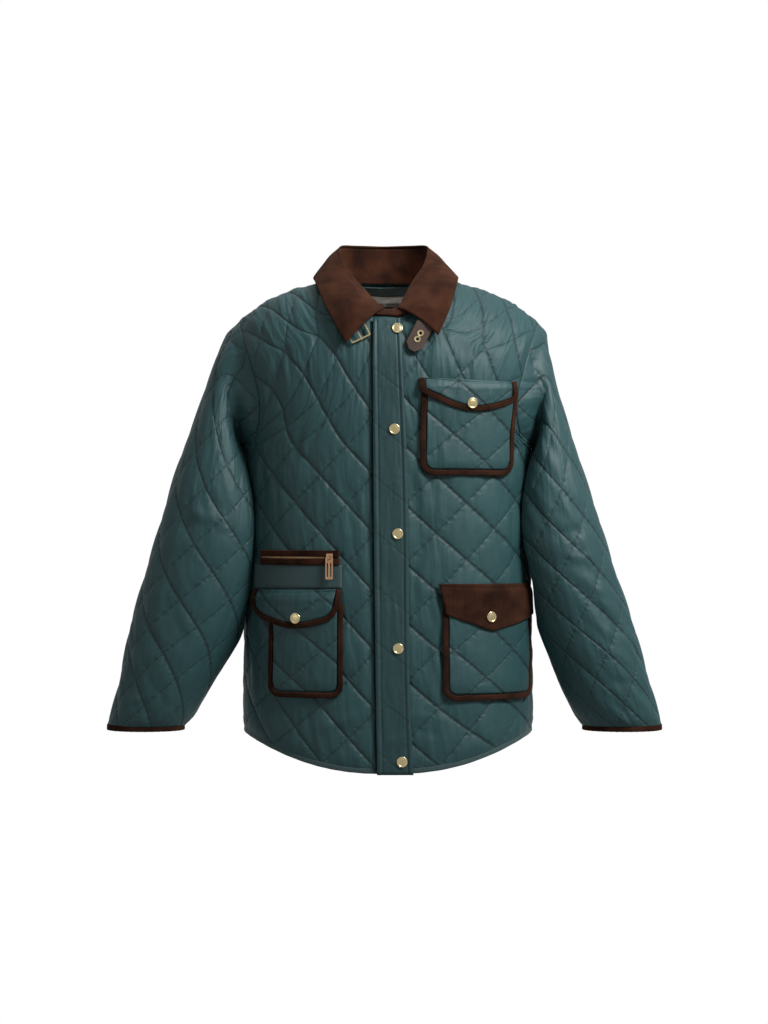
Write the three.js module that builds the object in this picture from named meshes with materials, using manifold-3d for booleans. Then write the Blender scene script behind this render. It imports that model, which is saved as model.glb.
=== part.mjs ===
// A quilted jacket, filled out as on a wearer who isn't there.
// Millimetres. +X is the wearer's left, -Y is the front and +Z is up.
// The origin lies between the wearer's shoulders, level with the neck end of the shoulder seams.
import * as THREE from "three";
import * as BufferGeometryUtils from "three/addons/utils/BufferGeometryUtils.js";
import Module from "manifold-3d";

const wasm = await Module();
wasm.setup();

// Cloth
const clothThickness = 3;
const quiltRise = 3;
const trimThickness = 2.2;
const seamGap = 0.4;
const layGap = 0.7;
const clothInset = 5;
const panelTop = clothThickness + quiltRise + layGap;

// Outline of the body, front to back, at each height: what shows, outside the cloth.
const bodyRows = [
  { z: -720, halfWidth: 206, front: 150, back: 142 },
  { z: -560, halfWidth: 205, front: 149, back: 142 },
  { z: -400, halfWidth: 203, front: 146, back: 141 },
  { z: -240, halfWidth: 203, front: 142, back: 140 },
  { z: -160, halfWidth: 212, front: 140, back: 140 },
  { z: -80, halfWidth: 232, front: 138, back: 138 },
  { z: 20, halfWidth: 240, front: 136, back: 136 },
];

// Top line of the shoulders, from the middle of the neck to past the sleeve head.
const shoulderRows = [
  { x: 0, z: 12 },
  { x: 70, z: 10 },
  { x: 98, z: -1 },
  { x: 130, z: -10 },
  { x: 165, z: -24 },
  { x: 192, z: -41 },
  { x: 217, z: -62 },
  { x: 245, z: -95 },
];

const squareness = 2.4;
const ringMiddleY = 5;
const frontRollHeight = 140;
const frontRollRadius = 138;
const backRollHeight = 110;
const backRollRadius = 123;
const girthRingZ = -400;

// Panel grids: quilting runs corner to corner over four columns and four rows.
const panelColumns = 14;
const panelRows = 36;
const armpitRow = 22;
const neckRow = 30;
const armpitZ = -238;
const sleeveSteps = 28;

// Neck, hem and armholes
const neckHalfWidth = 70;
const frontNeckZ = -64;
const backNeckZ = -2;
const sideNeckZ = 5;
const shoulderTipX = 212;
const hemSideZ = -637;
const hemMiddleZ = -685;
const hemCurvePower = 2.4;
const hemBindingHeight = 5;
const cuffBindingHeight = 6;

// Armhole: how far round the body it runs, in degrees from the middle, at each height.
const frontArmholeRows = [
  { turn: 60, z: -85 },
  { turn: 57.5, z: -130 },
  { turn: 57, z: -180 },
  { turn: 62, z: -215 },
  { turn: 74, z: -233 },
];
const backArmholeRows = [
  { turn: 61, z: -85 },
  { turn: 60, z: -130 },
  { turn: 60, z: -180 },
  { turn: 65, z: -215 },
  { turn: 76, z: -233 },
];

// Sleeves: sections through the arm, from the shoulder to the cuff. Each gives the outer and the inner
// end of the section, its half depth front to back, and how far forward its middle lies.
const rightSleeveRows = [
  { outerX: 234, outerZ: -82, innerX: 208, innerZ: -232, halfDepth: 66, forward: -3 },
  { outerX: 250, outerZ: -124, innerX: 212, innerZ: -240, halfDepth: 68, forward: 4 },
  { outerX: 271, outerZ: -187, innerX: 196, innerZ: -264, halfDepth: 68, forward: 18 },
  { outerX: 296, outerZ: -258, innerX: 182, innerZ: -300, halfDepth: 67, forward: 32 },
  { outerX: 319, outerZ: -337, innerX: 174, innerZ: -352, halfDepth: 65, forward: 42 },
  { outerX: 343, outerZ: -418, innerX: 184, innerZ: -424, halfDepth: 63, forward: 46 },
  { outerX: 363, outerZ: -490, innerX: 206, innerZ: -492, halfDepth: 60, forward: 46 },
  { outerX: 377, outerZ: -561, innerX: 246, innerZ: -562, halfDepth: 54, forward: 46 },
  { outerX: 389, outerZ: -606, innerX: 272, innerZ: -607, halfDepth: 47, forward: 45 },
  { outerX: 396, outerZ: -627, innerX: 289, innerZ: -629, halfDepth: 42, forward: 44 },
];
const leftSleeveRows = [
  { outerX: 226, outerZ: -84, innerX: 208, innerZ: -232, halfDepth: 66, forward: -3 },
  { outerX: 234, outerZ: -128, innerX: 212, innerZ: -240, halfDepth: 68, forward: 4 },
  { outerX: 251, outerZ: -189, innerX: 196, innerZ: -264, halfDepth: 68, forward: 18 },
  { outerX: 272, outerZ: -258, innerX: 182, innerZ: -300, halfDepth: 67, forward: 32 },
  { outerX: 296, outerZ: -334, innerX: 176, innerZ: -350, halfDepth: 65, forward: 42 },
  { outerX: 318, outerZ: -405, innerX: 188, innerZ: -416, halfDepth: 63, forward: 46 },
  { outerX: 343, outerZ: -478, innerX: 206, innerZ: -482, halfDepth: 60, forward: 46 },
  { outerX: 364, outerZ: -552, innerX: 238, innerZ: -554, halfDepth: 54, forward: 46 },
  { outerX: 379, outerZ: -604, innerX: 262, innerZ: -606, halfDepth: 47, forward: 45 },
  { outerX: 386, outerZ: -627, innerX: 276, innerZ: -627, halfDepth: 42, forward: 44 },
];
const sleeveClearance = 11;
const flapClearance = 9;
const leftHipFlapMiddleZ = -455;

// Placket: its left seam and its free edge, from the neck to the hem.
const placketRows = [
  { z: -687, seam: -15, edge: 34 },
  { z: -560, seam: -17, edge: 29 },
  { z: -300, seam: -20, edge: 26.5 },
  { z: -114, seam: -21, edge: 19 },
  { z: -66, seam: -21, edge: 16.5 },
];
const placketTopZ = -66;
const placketSteps = 30;

// Collar on the wearer's left: the fold, from the front end to the middle of the back.
const foldStops = [
  { x: 9, y: -105, z: -50 },
  { x: 16, y: -96, z: -43 },
  { x: 35, y: -70, z: -15 },
  { x: 54, y: -42, z: 12 },
  { x: 62, y: -10, z: 36 },
  { x: 61, y: 22, z: 48 },
  { x: 38, y: 50, z: 51 },
  { x: 0, y: 60, z: 51 },
];
// The leaf's free edge, lying on the front and then on the back, lifted off the cloth below.
const leafEdgeStops = [
  { side: -1, x: 61, z: -97, rise: 17.5 },
  { side: -1, x: 78, z: -62, rise: 15 },
  { side: -1, x: 92, z: -24, rise: 12 },
  { side: -1, x: 98, z: -7, rise: 10.5 },
  { side: 1, x: 93, z: -10, rise: 10 },
  { side: 1, x: 72, z: -15, rise: 10 },
  { side: 1, x: 38, z: -17, rise: 10 },
  { side: 1, x: 0, z: -17, rise: 10 },
];
const collarShiftFront = 4;
const collarShiftBack = -6;
const leafTipShift = 5;
const standThickness = 2.2;
const standTurn = 4;
const standLift = 6;
const leafThickness = 2.5;
const leafLift = 2;
const leafBulge = 15;
const facingDepth = 20;
const liningDepth = 14;

// Patch pockets, in distance round the cloth from the middle (to the wearer's left) and height.
const bindingWidth = 7.5;
const pocketThickness = 2;
const pocketRise = 1.4;
const bindingThickness = 3.8;
const flapRise = 11.4;
const flapThickness = 2;
const flapBindingThickness = 2.8;
const chestPocket = { left: 43, right: 180, top: -164, bottom: -278, corner: 19 };
const leftHipPocket = { left: 73, right: 222, top: -446, bottom: -586, corner: 18 };
const rightHipPocket = { left: -167, right: -60, top: -452, bottom: -582, corner: 17 };
const chestFlapEdge = [
  { x: 39, z: -145 },
  { x: 40, z: -163 },
  { x: 52, z: -170 },
  { x: 65, z: -176 },
  { x: 77, z: -182 },
  { x: 89, z: -186 },
  { x: 100, z: -189 },
  { x: 112, z: -190 },
  { x: 124, z: -189 },
  { x: 136, z: -187 },
  { x: 148, z: -184 },
  { x: 160, z: -180 },
  { x: 171, z: -174 },
  { x: 175, z: -166 },
  { x: 172, z: -147 },
];
const leftHipFlapEdge = [
  { x: 68, z: -426 },
  { x: 76, z: -468 },
  { x: 89, z: -473 },
  { x: 102, z: -478 },
  { x: 115, z: -482 },
  { x: 128, z: -487 },
  { x: 141, z: -491 },
  { x: 155, z: -488 },
  { x: 169, z: -485 },
  { x: 183, z: -482 },
  { x: 197, z: -478 },
  { x: 211, z: -475 },
  { x: 225, z: -470 },
  { x: 222, z: -427 },
];
const rightHipFlapEdge = [
  { x: -198, z: -434 },
  { x: -201, z: -447 },
  { x: -194, z: -463 },
  { x: -185, z: -471 },
  { x: -173, z: -477 },
  { x: -160, z: -481 },
  { x: -147, z: -485 },
  { x: -134, z: -487 },
  { x: -121, z: -487 },
  { x: -109, z: -486 },
  { x: -97, z: -483 },
  { x: -86, z: -480 },
  { x: -76, z: -475 },
  { x: -67, z: -463 },
  { x: -63, z: -448 },
  { x: -62, z: -434 },
];

// Zip pocket on the wearer's right
const zip = { left: -185, right: -65, middleZ: -390.5, slot: 3.4, weltHeight: 8.2, tapeWidth: 15 };
const zipPanel = { left: -197, right: -62, top: -400.6, bottom: -432.4 };
const sliderRound = -78;
const sliderWidth = 9;
const sliderHeight = 11;
const sliderThickness = 1.8;
const pinRadius = 0.8;
const archInner = 1.7;
const archOuter = 3;
const archWidth = 2.6;
const tabWidth = 10.5;
const tabLength = 30.5;
const tabThickness = 1.4;

// Snaps, in distance round and height
const snapRadius = 7.5;
const placketSnaps = [
  { round: 11, z: -80 },
  { round: 8.5, z: -215 },
  { round: 13, z: -358 },
  { round: 13.5, z: -514 },
  { round: 18.5, z: -668 },
];
const chestSnap = { round: 109, z: -179 };
const leftHipSnap = { round: 138.5, z: -472 };
const rightHipSnap = { round: -123, z: -473.5 };

// Throat strap: a buckle at the wearer's right, a tab with eyelets at the left
const strapWidth = 24;
const strapSlant = THREE.MathUtils.degToRad(27);
const buckleRound = -32;
const buckleZ = -94;
const buckleWidth = 29;
const buckleLength = 20;
const buckleWire = 2;
const buckleRise = 9.8;
const loopInner = 1.6;
const loopOuter = 2.9;
const prongRing = 2.5;
const prongWidth = 2.4;
const strapHidden = 5;
const tabEnd = { round: 28.5, z: -109.5 };
const tabStrapLength = 42;
const tabStrapThickness = 2;
const tabStrapRise = 9.8;
const eyeletSpacing = 9.5;
const firstEyelet = 17.5;
const eyeletInner = 2.3;
const eyeletOuter = 4.8;

const front = -1;
const back = 1;
const wearersRight = -1;
const wearersLeft = 1;
const quarterTurn = Math.PI / 2;

const mix = (from, to, share) => from + (to - from) * share;
const clamp = (value, low, high) => Math.min(Math.max(value, low), high);
const easeBetween = (value, low, high) => THREE.MathUtils.smoothstep(value, low, high);
const signedPower = (value, power) => Math.sign(value) * Math.abs(value) ** power;

// Reads a table between its rows on a smooth curve. Rows ascend or descend in the column `by`.
function readTable(rows, column, by, at) {
  const last = rows.length - 1;
  const rising = rows[last][by] > rows[0][by];
  let k = 0;
  while (k < last - 1 && (rising ? at > rows[k + 1][by] : at < rows[k + 1][by])) k += 1;
  const slopeAt = (j) => {
    const before = rows[Math.max(j - 1, 0)];
    const after = rows[Math.min(j + 1, last)];
    return (after[column] - before[column]) / (after[by] - before[by]);
  };
  const low = rows[k];
  const high = rows[k + 1];
  const span = high[by] - low[by];
  const t = clamp((at - low[by]) / span, 0, 1);
  const bend = t * t * (3 - 2 * t);
  return mix(low[column], high[column], bend)
    + span * slopeAt(k) * t * (1 - t) ** 2
    - span * slopeAt(k + 1) * t * t * (1 - t);
}

// The cloth's inner face, which every piece of the body is laid on.
const halfWidthAt = (z) => readTable(bodyRows, "halfWidth", "z", clamp(z, -720, 20)) - clothInset;
const depthAt = (side, z) => {
  const column = side === front ? "front" : "back";
  return readTable(bodyRows, column, "z", clamp(z, -720, 20)) - clothInset;
};
const shoulderAt = (x) => readTable(shoulderRows, "z", "x", clamp(Math.abs(x), 0, 245)) - clothInset;
const rollHeight = (side) => (side === front ? frontRollHeight : backRollHeight);
const rollRadius = (side) => (side === front ? frontRollRadius : backRollRadius);

// How far round the body a turn lies, measured along the ring below the chest.
function measureQuarter(side) {
  const steps = 360;
  const lengths = [0];
  let beforeX = 0;
  let beforeY = depthAt(side, girthRingZ);
  for (let k = 1; k <= steps; k += 1) {
    const turn = (k / steps) * quarterTurn;
    const x = halfWidthAt(girthRingZ) * Math.sin(turn) ** (2 / squareness);
    const y = depthAt(side, girthRingZ) * Math.max(Math.cos(turn), 0) ** (2 / squareness);
    lengths.push(lengths[k - 1] + Math.hypot(x - beforeX, y - beforeY));
    beforeX = x;
    beforeY = y;
  }
  return lengths;
}
const quarterLengths = { [front]: measureQuarter(front), [back]: measureQuarter(back) };
const quarterRound = (side) => quarterLengths[side][quarterLengths[side].length - 1];

function turnFromRound(side, round) {
  const lengths = quarterLengths[side];
  const steps = lengths.length - 1;
  const wanted = clamp(Math.abs(round), 0, lengths[steps]);
  let k = 0;
  while (k < steps - 1 && lengths[k + 1] < wanted) k += 1;
  const share = (wanted - lengths[k]) / (lengths[k + 1] - lengths[k]);
  return Math.sign(round) * ((k + share) / steps) * quarterTurn;
}

function roundFromTurn(side, turn) {
  const lengths = quarterLengths[side];
  const place = clamp(Math.abs(turn) / quarterTurn, 0, 1) * (lengths.length - 1);
  const k = Math.min(Math.floor(place), lengths.length - 2);
  return Math.sign(turn) * mix(lengths[k], lengths[k + 1], place - k);
}

function roundFromX(side, x, z) {
  const share = clamp(Math.abs(x) / halfWidthAt(z), 0, 1);
  return Math.sign(x) * roundFromTurn(side, Math.asin(share ** (squareness / 2)));
}

const xFromRound = (side, round, z) =>
  halfWidthAt(z) * signedPower(Math.sin(turnFromRound(side, round)), 2 / squareness);

// Girth is the distance down the cloth from the top line of the shoulders.
function girthAt(side, round, z) {
  const drop = shoulderAt(xFromRound(side, round, z)) - z;
  if (drop < rollHeight(side)) {
    return rollRadius(side) * Math.acos(clamp(1 - drop / rollHeight(side), 0, 1));
  }
  return rollRadius(side) * quarterTurn + drop - rollHeight(side);
}

function bodyPoint(side, round, girth) {
  const roll = Math.min(girth / rollRadius(side), quarterTurn);
  const straight = Math.max(girth - rollRadius(side) * quarterTurn, 0);
  const drop = rollHeight(side) * (1 - Math.cos(roll)) + straight;
  const turn = turnFromRound(side, round);
  let z = -drop;
  let x = 0;
  for (let pass = 0; pass < 8; pass += 1) {
    x = halfWidthAt(z) * signedPower(Math.sin(turn), 2 / squareness);
    z = shoulderAt(x) - drop;
  }
  const depth = depthAt(side, z) * Math.max(Math.cos(turn), 0) ** (2 / squareness);
  return new THREE.Vector3(x, ringMiddleY + side * depth * Math.sin(roll), z);
}

// A place on the body with the way out of the cloth there. `hand` mirrors it to the wearer's right.
function bodySpot(side, hand, round, girth) {
  const step = 1;
  const limit = quarterRound(side);
  const across = bodyPoint(side, Math.min(round + step, limit), girth)
    .sub(bodyPoint(side, Math.min(round + step, limit) - 2 * step, girth));
  const down = bodyPoint(side, round, Math.max(girth, step) + step)
    .sub(bodyPoint(side, round, Math.max(girth, step) - step));
  const normal = across.cross(down).normalize().multiplyScalar(side);
  const point = bodyPoint(side, round, girth);
  point.x *= hand;
  normal.x *= hand;
  return { point, normal };
}

const spotAtHeight = (side, hand, round, z) => bodySpot(side, hand, round, girthAt(side, round, z));
const lifted = (spot, rise) => spot.point.clone().addScaledVector(spot.normal, rise);

// A place on the front, from its distance round from the middle (to the wearer's left) and its height.
const onFront = (round, z, rise) => lifted(spotAtHeight(front, wearersLeft, round, z), rise);

// Triangles gathered into one closed solid with its faces pointing out.
class Skin {
  constructor() {
    this.corners = [];
  }

  triangle(a, b, c) {
    this.corners.push(a, b, c);
  }

  quad(a, b, c, d, firstDiagonal = true) {
    if (firstDiagonal) {
      this.triangle(a, b, c);
      this.triangle(a, c, d);
    } else {
      this.triangle(a, b, d);
      this.triangle(b, c, d);
    }
  }

  add(other, turnedOver) {
    for (let k = 0; k < other.corners.length; k += 3) {
      const [a, b, c] = other.corners.slice(k, k + 3);
      this.triangle(a, turnedOver ? c : b, turnedOver ? b : c);
    }
  }

  geometry() {
    let volume = 0;
    for (let k = 0; k < this.corners.length; k += 3) {
      const [a, b, c] = this.corners.slice(k, k + 3);
      volume += a.dot(b.clone().cross(c)) / 6;
    }
    const positions = [];
    for (let k = 0; k < this.corners.length; k += 3) {
      const [a, b, c] = this.corners.slice(k, k + 3);
      const order = volume > 0 ? [a, b, c] : [a, c, b];
      order.forEach((corner) => positions.push(corner.x, corner.y, corner.z));
    }
    const loose = new THREE.BufferGeometry();
    loose.setAttribute("position", new THREE.Float32BufferAttribute(positions, 3));
    const joined = BufferGeometryUtils.mergeVertices(loose, 0.002);
    const kept = [];
    const index = joined.getIndex();
    for (let k = 0; k < index.count; k += 3) {
      const [a, b, c] = [index.getX(k), index.getX(k + 1), index.getX(k + 2)];
      if (a !== b && b !== c && c !== a) kept.push(a, b, c);
    }
    joined.setIndex(kept);
    joined.computeVertexNormals();
    return joined;
  }
}

// Closes the edge of a wall. `outer` runs the way the outer face does. The inner edge has the same
// number of points, or every second one.
function closeEdge(skin, outer, inner) {
  const stride = outer.length === inner.length ? 1 : 2;
  for (let k = 0; k + 1 < inner.length; k += 1) {
    if (stride === 1) {
      skin.quad(outer[k + 1], outer[k], inner[k], inner[k + 1]);
    } else {
      skin.triangle(outer[2 * k + 1], outer[2 * k], inner[k]);
      skin.triangle(outer[2 * k + 1], inner[k], inner[k + 1]);
      skin.triangle(outer[2 * k + 2], outer[2 * k + 1], inner[k + 1]);
    }
  }
}

// Quilted diamonds four columns wide and four rows tall, zero along the stitched lines.
function diamondRise(i, j) {
  const falling = Math.abs(Math.sin((Math.PI * (i + j)) / 4));
  const climbing = Math.abs(Math.sin((Math.PI * (i - j)) / 4));
  return (falling * climbing) ** 0.7;
}

// The largest folds, as ridges and troughs: the middle, the way each runs, its half length, its half
// width and its height.
const folds = [
  { x: -328, y: -102, z: -396, runX: 1, runZ: 0.25, long: 42, wide: 13, height: -2.6 },
  { x: -304, y: -98, z: -360, runX: 1, runZ: 0.15, long: 38, wide: 13, height: 2.4 },
  { x: -262, y: -98, z: -330, runX: 1, runZ: -0.5, long: 36, wide: 13, height: -2.2 },
  { x: -350, y: -98, z: -455, runX: 1, runZ: 0.35, long: 36, wide: 13, height: 2.4 },
  { x: -300, y: -100, z: -470, runX: 0.5, runZ: -1, long: 46, wide: 13, height: -2.2 },
  { x: -330, y: -96, z: -560, runX: 0.6, runZ: -1, long: 46, wide: 13, height: -2.2 },
  { x: -250, y: -92, z: -260, runX: 0.4, runZ: 1, long: 46, wide: 13, height: -2.2 },
  { x: -330, y: 25, z: -400, runX: 1, runZ: 0.3, long: 42, wide: 14, height: -2.4 },
  { x: -350, y: 10, z: -520, runX: 0.6, runZ: -1, long: 46, wide: 14, height: 2.2 },
  { x: 300, y: -101, z: -420, runX: 1, runZ: -0.45, long: 44, wide: 13, height: -2.8 },
  { x: 326, y: -99, z: -462, runX: 1, runZ: -0.5, long: 40, wide: 13, height: 2.4 },
  { x: 270, y: -99, z: -350, runX: 1, runZ: 0.3, long: 36, wide: 13, height: -2.4 },
  { x: 335, y: -96, z: -505, runX: 1, runZ: -0.6, long: 38, wide: 13, height: -2.4 },
  { x: 345, y: -90, z: -565, runX: 1, runZ: -0.3, long: 34, wide: 13, height: 2.2 },
  { x: 230, y: -84, z: -240, runX: -0.4, runZ: 1, long: 46, wide: 13, height: -2.2 },
  { x: 310, y: 26, z: -400, runX: 1, runZ: -0.3, long: 44, wide: 14, height: -2.4 },
  { x: 340, y: 10, z: -530, runX: -0.6, runZ: -1, long: 44, wide: 14, height: 2.2 },
  { x: 80, y: -146, z: -632, runX: 1, runZ: -0.12, long: 46, wide: 13, height: -2.6 },
  { x: -92, y: -140, z: -622, runX: 0.9, runZ: 0.28, long: 52, wide: 13, height: 1.8 },
  { x: 60, y: -142, z: -330, runX: 0.25, runZ: 1, long: 60, wide: 13, height: -1.8 },
  { x: -110, y: -134, z: -250, runX: 0.3, runZ: 1, long: 62, wide: 13, height: -1.8 },
  { x: -50, y: -142, z: -300, runX: -0.15, runZ: 1, long: 70, wide: 13, height: -1.6 },
  { x: 120, y: -96, z: -75, runX: 0.8, runZ: -0.5, long: 46, wide: 13, height: -1.6 },
  { x: -128, y: -98, z: -80, runX: 0.8, runZ: 0.5, long: 46, wide: 13, height: -1.6 },
  { x: 0, y: 144, z: -300, runX: 0.1, runZ: 1, long: 80, wide: 14, height: -1.8 },
  { x: -80, y: 138, z: -280, runX: 0.25, runZ: 1, long: 70, wide: 14, height: -1.8 },
  { x: 110, y: 110, z: -95, runX: 0.7, runZ: 0.4, long: 46, wide: 14, height: -1.6 },
  { x: -112, y: 110, z: -95, runX: 0.7, runZ: -0.4, long: 46, wide: 14, height: -1.6 },
  { x: 50, y: 140, z: -560, runX: 1, runZ: 0.15, long: 60, wide: 14, height: -1.8 },
];

function foldRise(point) {
  let total = 0;
  for (const { x, y, z, runX, runZ, long, wide, height } of folds) {
    const way = new THREE.Vector3(runX, 0, runZ).normalize();
    const apart = point.clone().sub(new THREE.Vector3(x, y, z));
    const run = apart.dot(way);
    const off = apart.addScaledVector(way, -run).length();
    total += height * Math.exp(-((off / wide) ** 2) - (run / long) ** 2);
  }
  return total;
}

// A cloth wall over a grid of spots. `outerAt` and `innerAt` give its two faces. A ring closes on itself,
// and `leftEdgeFrom` is the row from which its left edge is a cut edge.
function wallSkin({ columns, rows, outerAt, innerAt, ring = false, coarse = false, leftEdgeFrom = 0 }) {
  const skin = new Skin();
  const wrap = (i) => (ring ? i % columns : i);
  const outer = (i, j) => outerAt(wrap(i), j);
  const inner = (i, j) => innerAt(wrap(i), j);
  for (let i = 0; i < columns; i += 1) {
    for (let j = 0; j < rows; j += 1) {
      const climbs = (((i - j) % 4) + 4) % 4 === 0;
      const falls = (i + j + 1) % 4 === 0;
      const firstDiagonal = climbs || (!falls && (i + j) % 2 === 0);
      skin.quad(outer(i, j), outer(i + 1, j), outer(i + 1, j + 1), outer(i, j + 1), firstDiagonal);
    }
  }
  const step = coarse ? 2 : 1;
  for (let i = 0; i < columns; i += step) {
    for (let j = 0; j < rows; j += step) {
      skin.quad(inner(i, j), inner(i, j + step), inner(i + step, j + step), inner(i + step, j));
    }
  }
  const line = (from, to, by, at) => {
    const points = [];
    for (let k = from; by > 0 ? k <= to : k >= to; k += by) points.push(at(k));
    return points;
  };
  closeEdge(skin, line(0, columns, 1, (i) => outer(i, 0)), line(0, columns, step, (i) => inner(i, 0)));
  closeEdge(
    skin,
    line(columns, 0, -1, (i) => outer(i, rows)),
    line(columns, 0, -step, (i) => inner(i, rows)),
  );
  if (!ring) {
    closeEdge(
      skin,
      line(0, rows, 1, (j) => outer(columns, j)),
      line(0, rows, step, (j) => inner(columns, j)),
    );
    closeEdge(
      skin,
      line(rows, leftEdgeFrom, -1, (j) => outer(0, j)),
      line(rows, leftEdgeFrom, -step, (j) => inner(0, j)),
    );
  }
  return skin;
}

// Shares of a path at which `count` steps along it are equally long.
function evenShares(pointAt, count) {
  const fine = 400;
  const lengths = [0];
  let before = pointAt(0);
  for (let k = 1; k <= fine; k += 1) {
    const next = pointAt(k / fine);
    lengths.push(lengths[k - 1] + next.distanceTo(before));
    before = next;
  }
  const shares = [];
  let k = 0;
  for (let step = 0; step <= count; step += 1) {
    const wanted = (lengths[fine] * step) / count;
    while (k < fine - 1 && lengths[k + 1] < wanted) k += 1;
    shares.push((k + (wanted - lengths[k]) / (lengths[k + 1] - lengths[k])) / fine);
  }
  return shares;
}

const hemAt = (side, round) =>
  mix(hemSideZ, hemMiddleZ, Math.max(Math.cos(turnFromRound(side, round)), 0) ** hemCurvePower);

const placketSeamAt = (z) => readTable(placketRows, "seam", "z", clamp(z, -687, placketTopZ));
const placketEdgeAt = (z) => readTable(placketRows, "edge", "z", clamp(z, -687, placketTopZ));

// How far round the middle edge of a panel lies, on its own side of the middle.
function middleEdge(side, hand, z) {
  if (side === back) return 0;
  if (hand === wearersRight) return roundFromX(front, -placketSeamAt(z), z);
  return roundFromX(front, placketSeamAt(z) + seamGap, z);
}

function neckPoint(side, angle) {
  const x = neckHalfWidth * Math.sin(angle);
  const middleZ = side === front ? frontNeckZ : backNeckZ;
  const z = sideNeckZ - (sideNeckZ - middleZ) * Math.cos(angle);
  const round = roundFromX(side, x, z);
  return new THREE.Vector2(round, Math.max(girthAt(side, round, z), seamGap / 2));
}

// The grid of one half panel as round and girth: hem to shoulder, middle edge to side seam and armhole.
function halfPanelPlan(side, hand) {
  const limit = quarterRound(side) - seamGap / 2;
  const place = (v) => bodyPoint(side, v.x, v.y);
  const lowerPlan = (share, row) => {
    const rise = row / armpitRow;
    const edgeHem = hemAt(side, 0) + hemBindingHeight;
    const inner = middleEdge(side, hand, mix(edgeHem, armpitZ, rise));
    const round = mix(inner, limit, share);
    const bottomZ = hemAt(side, round) + hemBindingHeight + seamGap;
    const z = mix(bottomZ, armpitZ, rise);
    return new THREE.Vector2(round, girthAt(side, round, z));
  };
  const tipZ = shoulderAt(shoulderTipX);
  const armholeRows = side === front ? frontArmholeRows : backArmholeRows;
  const armholeStops = [
    lowerPlan(1, armpitRow),
    ...[...armholeRows].reverse().map(({ turn, z }) => {
      const round = roundFromTurn(side, THREE.MathUtils.degToRad(turn));
      return new THREE.Vector2(round, girthAt(side, round, z));
    }),
    new THREE.Vector2(roundFromX(side, shoulderTipX, tipZ), seamGap / 2),
  ];
  const armhole = new THREE.CatmullRomCurve3(armholeStops.map((v) => new THREE.Vector3(v.x, v.y, 0)));
  const upperRows = panelRows - armpitRow;
  const armholeShares = evenShares((t) => place(armhole.getPoint(t)), upperRows);
  const cornerAngle = (() => {
    if (side === back) return 0;
    const seamX = placketSeamAt(placketTopZ);
    return Math.asin((hand === wearersRight ? -seamX : seamX + seamGap) / neckHalfWidth);
  })();
  const neckShares = evenShares(
    (t) => place(neckPoint(side, mix(cornerAngle, quarterTurn, t))),
    panelRows - neckRow,
  );
  const corner = neckPoint(side, cornerAngle);
  const innerPlan = (row) => {
    if (row >= neckRow) {
      return neckPoint(side, mix(cornerAngle, quarterTurn, neckShares[row - neckRow]));
    }
    const share = (row - armpitRow) / (neckRow - armpitRow);
    return lowerPlan(0, armpitRow).lerp(corner, share);
  };
  const outerPlan = (row) => {
    const stop = armhole.getPoint(armholeShares[row - armpitRow]);
    return new THREE.Vector2(stop.x, stop.y);
  };
  const topPlan = (share) => {
    const x = mix(neckHalfWidth, shoulderTipX, share);
    return new THREE.Vector2(roundFromX(side, x, shoulderAt(x)), seamGap / 2);
  };
  const plan = [];
  for (let i = 0; i <= panelColumns; i += 1) {
    const u = i / panelColumns;
    const column = [];
    for (let j = 0; j <= panelRows; j += 1) {
      if (j <= armpitRow) {
        column.push(lowerPlan(u, j));
      } else {
        const v = (j - armpitRow) / upperRows;
        const spot = lowerPlan(u, armpitRow).multiplyScalar(1 - v)
          .addScaledVector(topPlan(u), v)
          .addScaledVector(innerPlan(j), 1 - u)
          .addScaledVector(outerPlan(j), u)
          .addScaledVector(lowerPlan(0, armpitRow), -(1 - u) * (1 - v))
          .addScaledVector(lowerPlan(1, armpitRow), -u * (1 - v))
          .addScaledVector(topPlan(0), -(1 - u) * v)
          .addScaledVector(topPlan(1), -u * v);
        column.push(spot);
      }
    }
    plan.push(column);
  }
  return plan;
}

function halfPanel(side, hand) {
  return halfPanelPlan(side, hand).map((column) =>
    column.map((v) => bodySpot(side, hand, v.x, Math.max(v.y, seamGap / 2))));
}

const halves = {
  frontRight: halfPanel(front, wearersRight),
  frontLeft: halfPanel(front, wearersLeft),
  backRight: halfPanel(back, wearersRight),
  backLeft: halfPanel(back, wearersLeft),
};

// Quilting dies away at the cut edges, where the layers are sewn flat.
function panelRise(spot, i, j, foldedMiddle) {
  const atMiddle = i === 0 && !(foldedMiddle && j < neckRow);
  const atEdge = atMiddle || i === panelColumns || j === 0 || j === panelRows;
  return atEdge ? 0 : clamp(quiltRise * diamondRise(i, j) + foldRise(spot.point), 0, quiltRise);
}

function halfPanelSkin(half, foldedMiddle) {
  const outer = half.map((column, i) =>
    column.map((spot, j) => lifted(spot, clothThickness + panelRise(spot, i, j, foldedMiddle))));
  return wallSkin({
    columns: panelColumns,
    rows: panelRows,
    outerAt: (i, j) => outer[i][j],
    innerAt: (i, j) => half[i][j].point,
    coarse: true,
    leftEdgeFrom: foldedMiddle ? neckRow : 0,
  });
}

function backPanelGeometry() {
  const skin = halfPanelSkin(halves.backRight, true);
  skin.add(halfPanelSkin(halves.backLeft, true), true);
  return skin.geometry();
}

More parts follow.
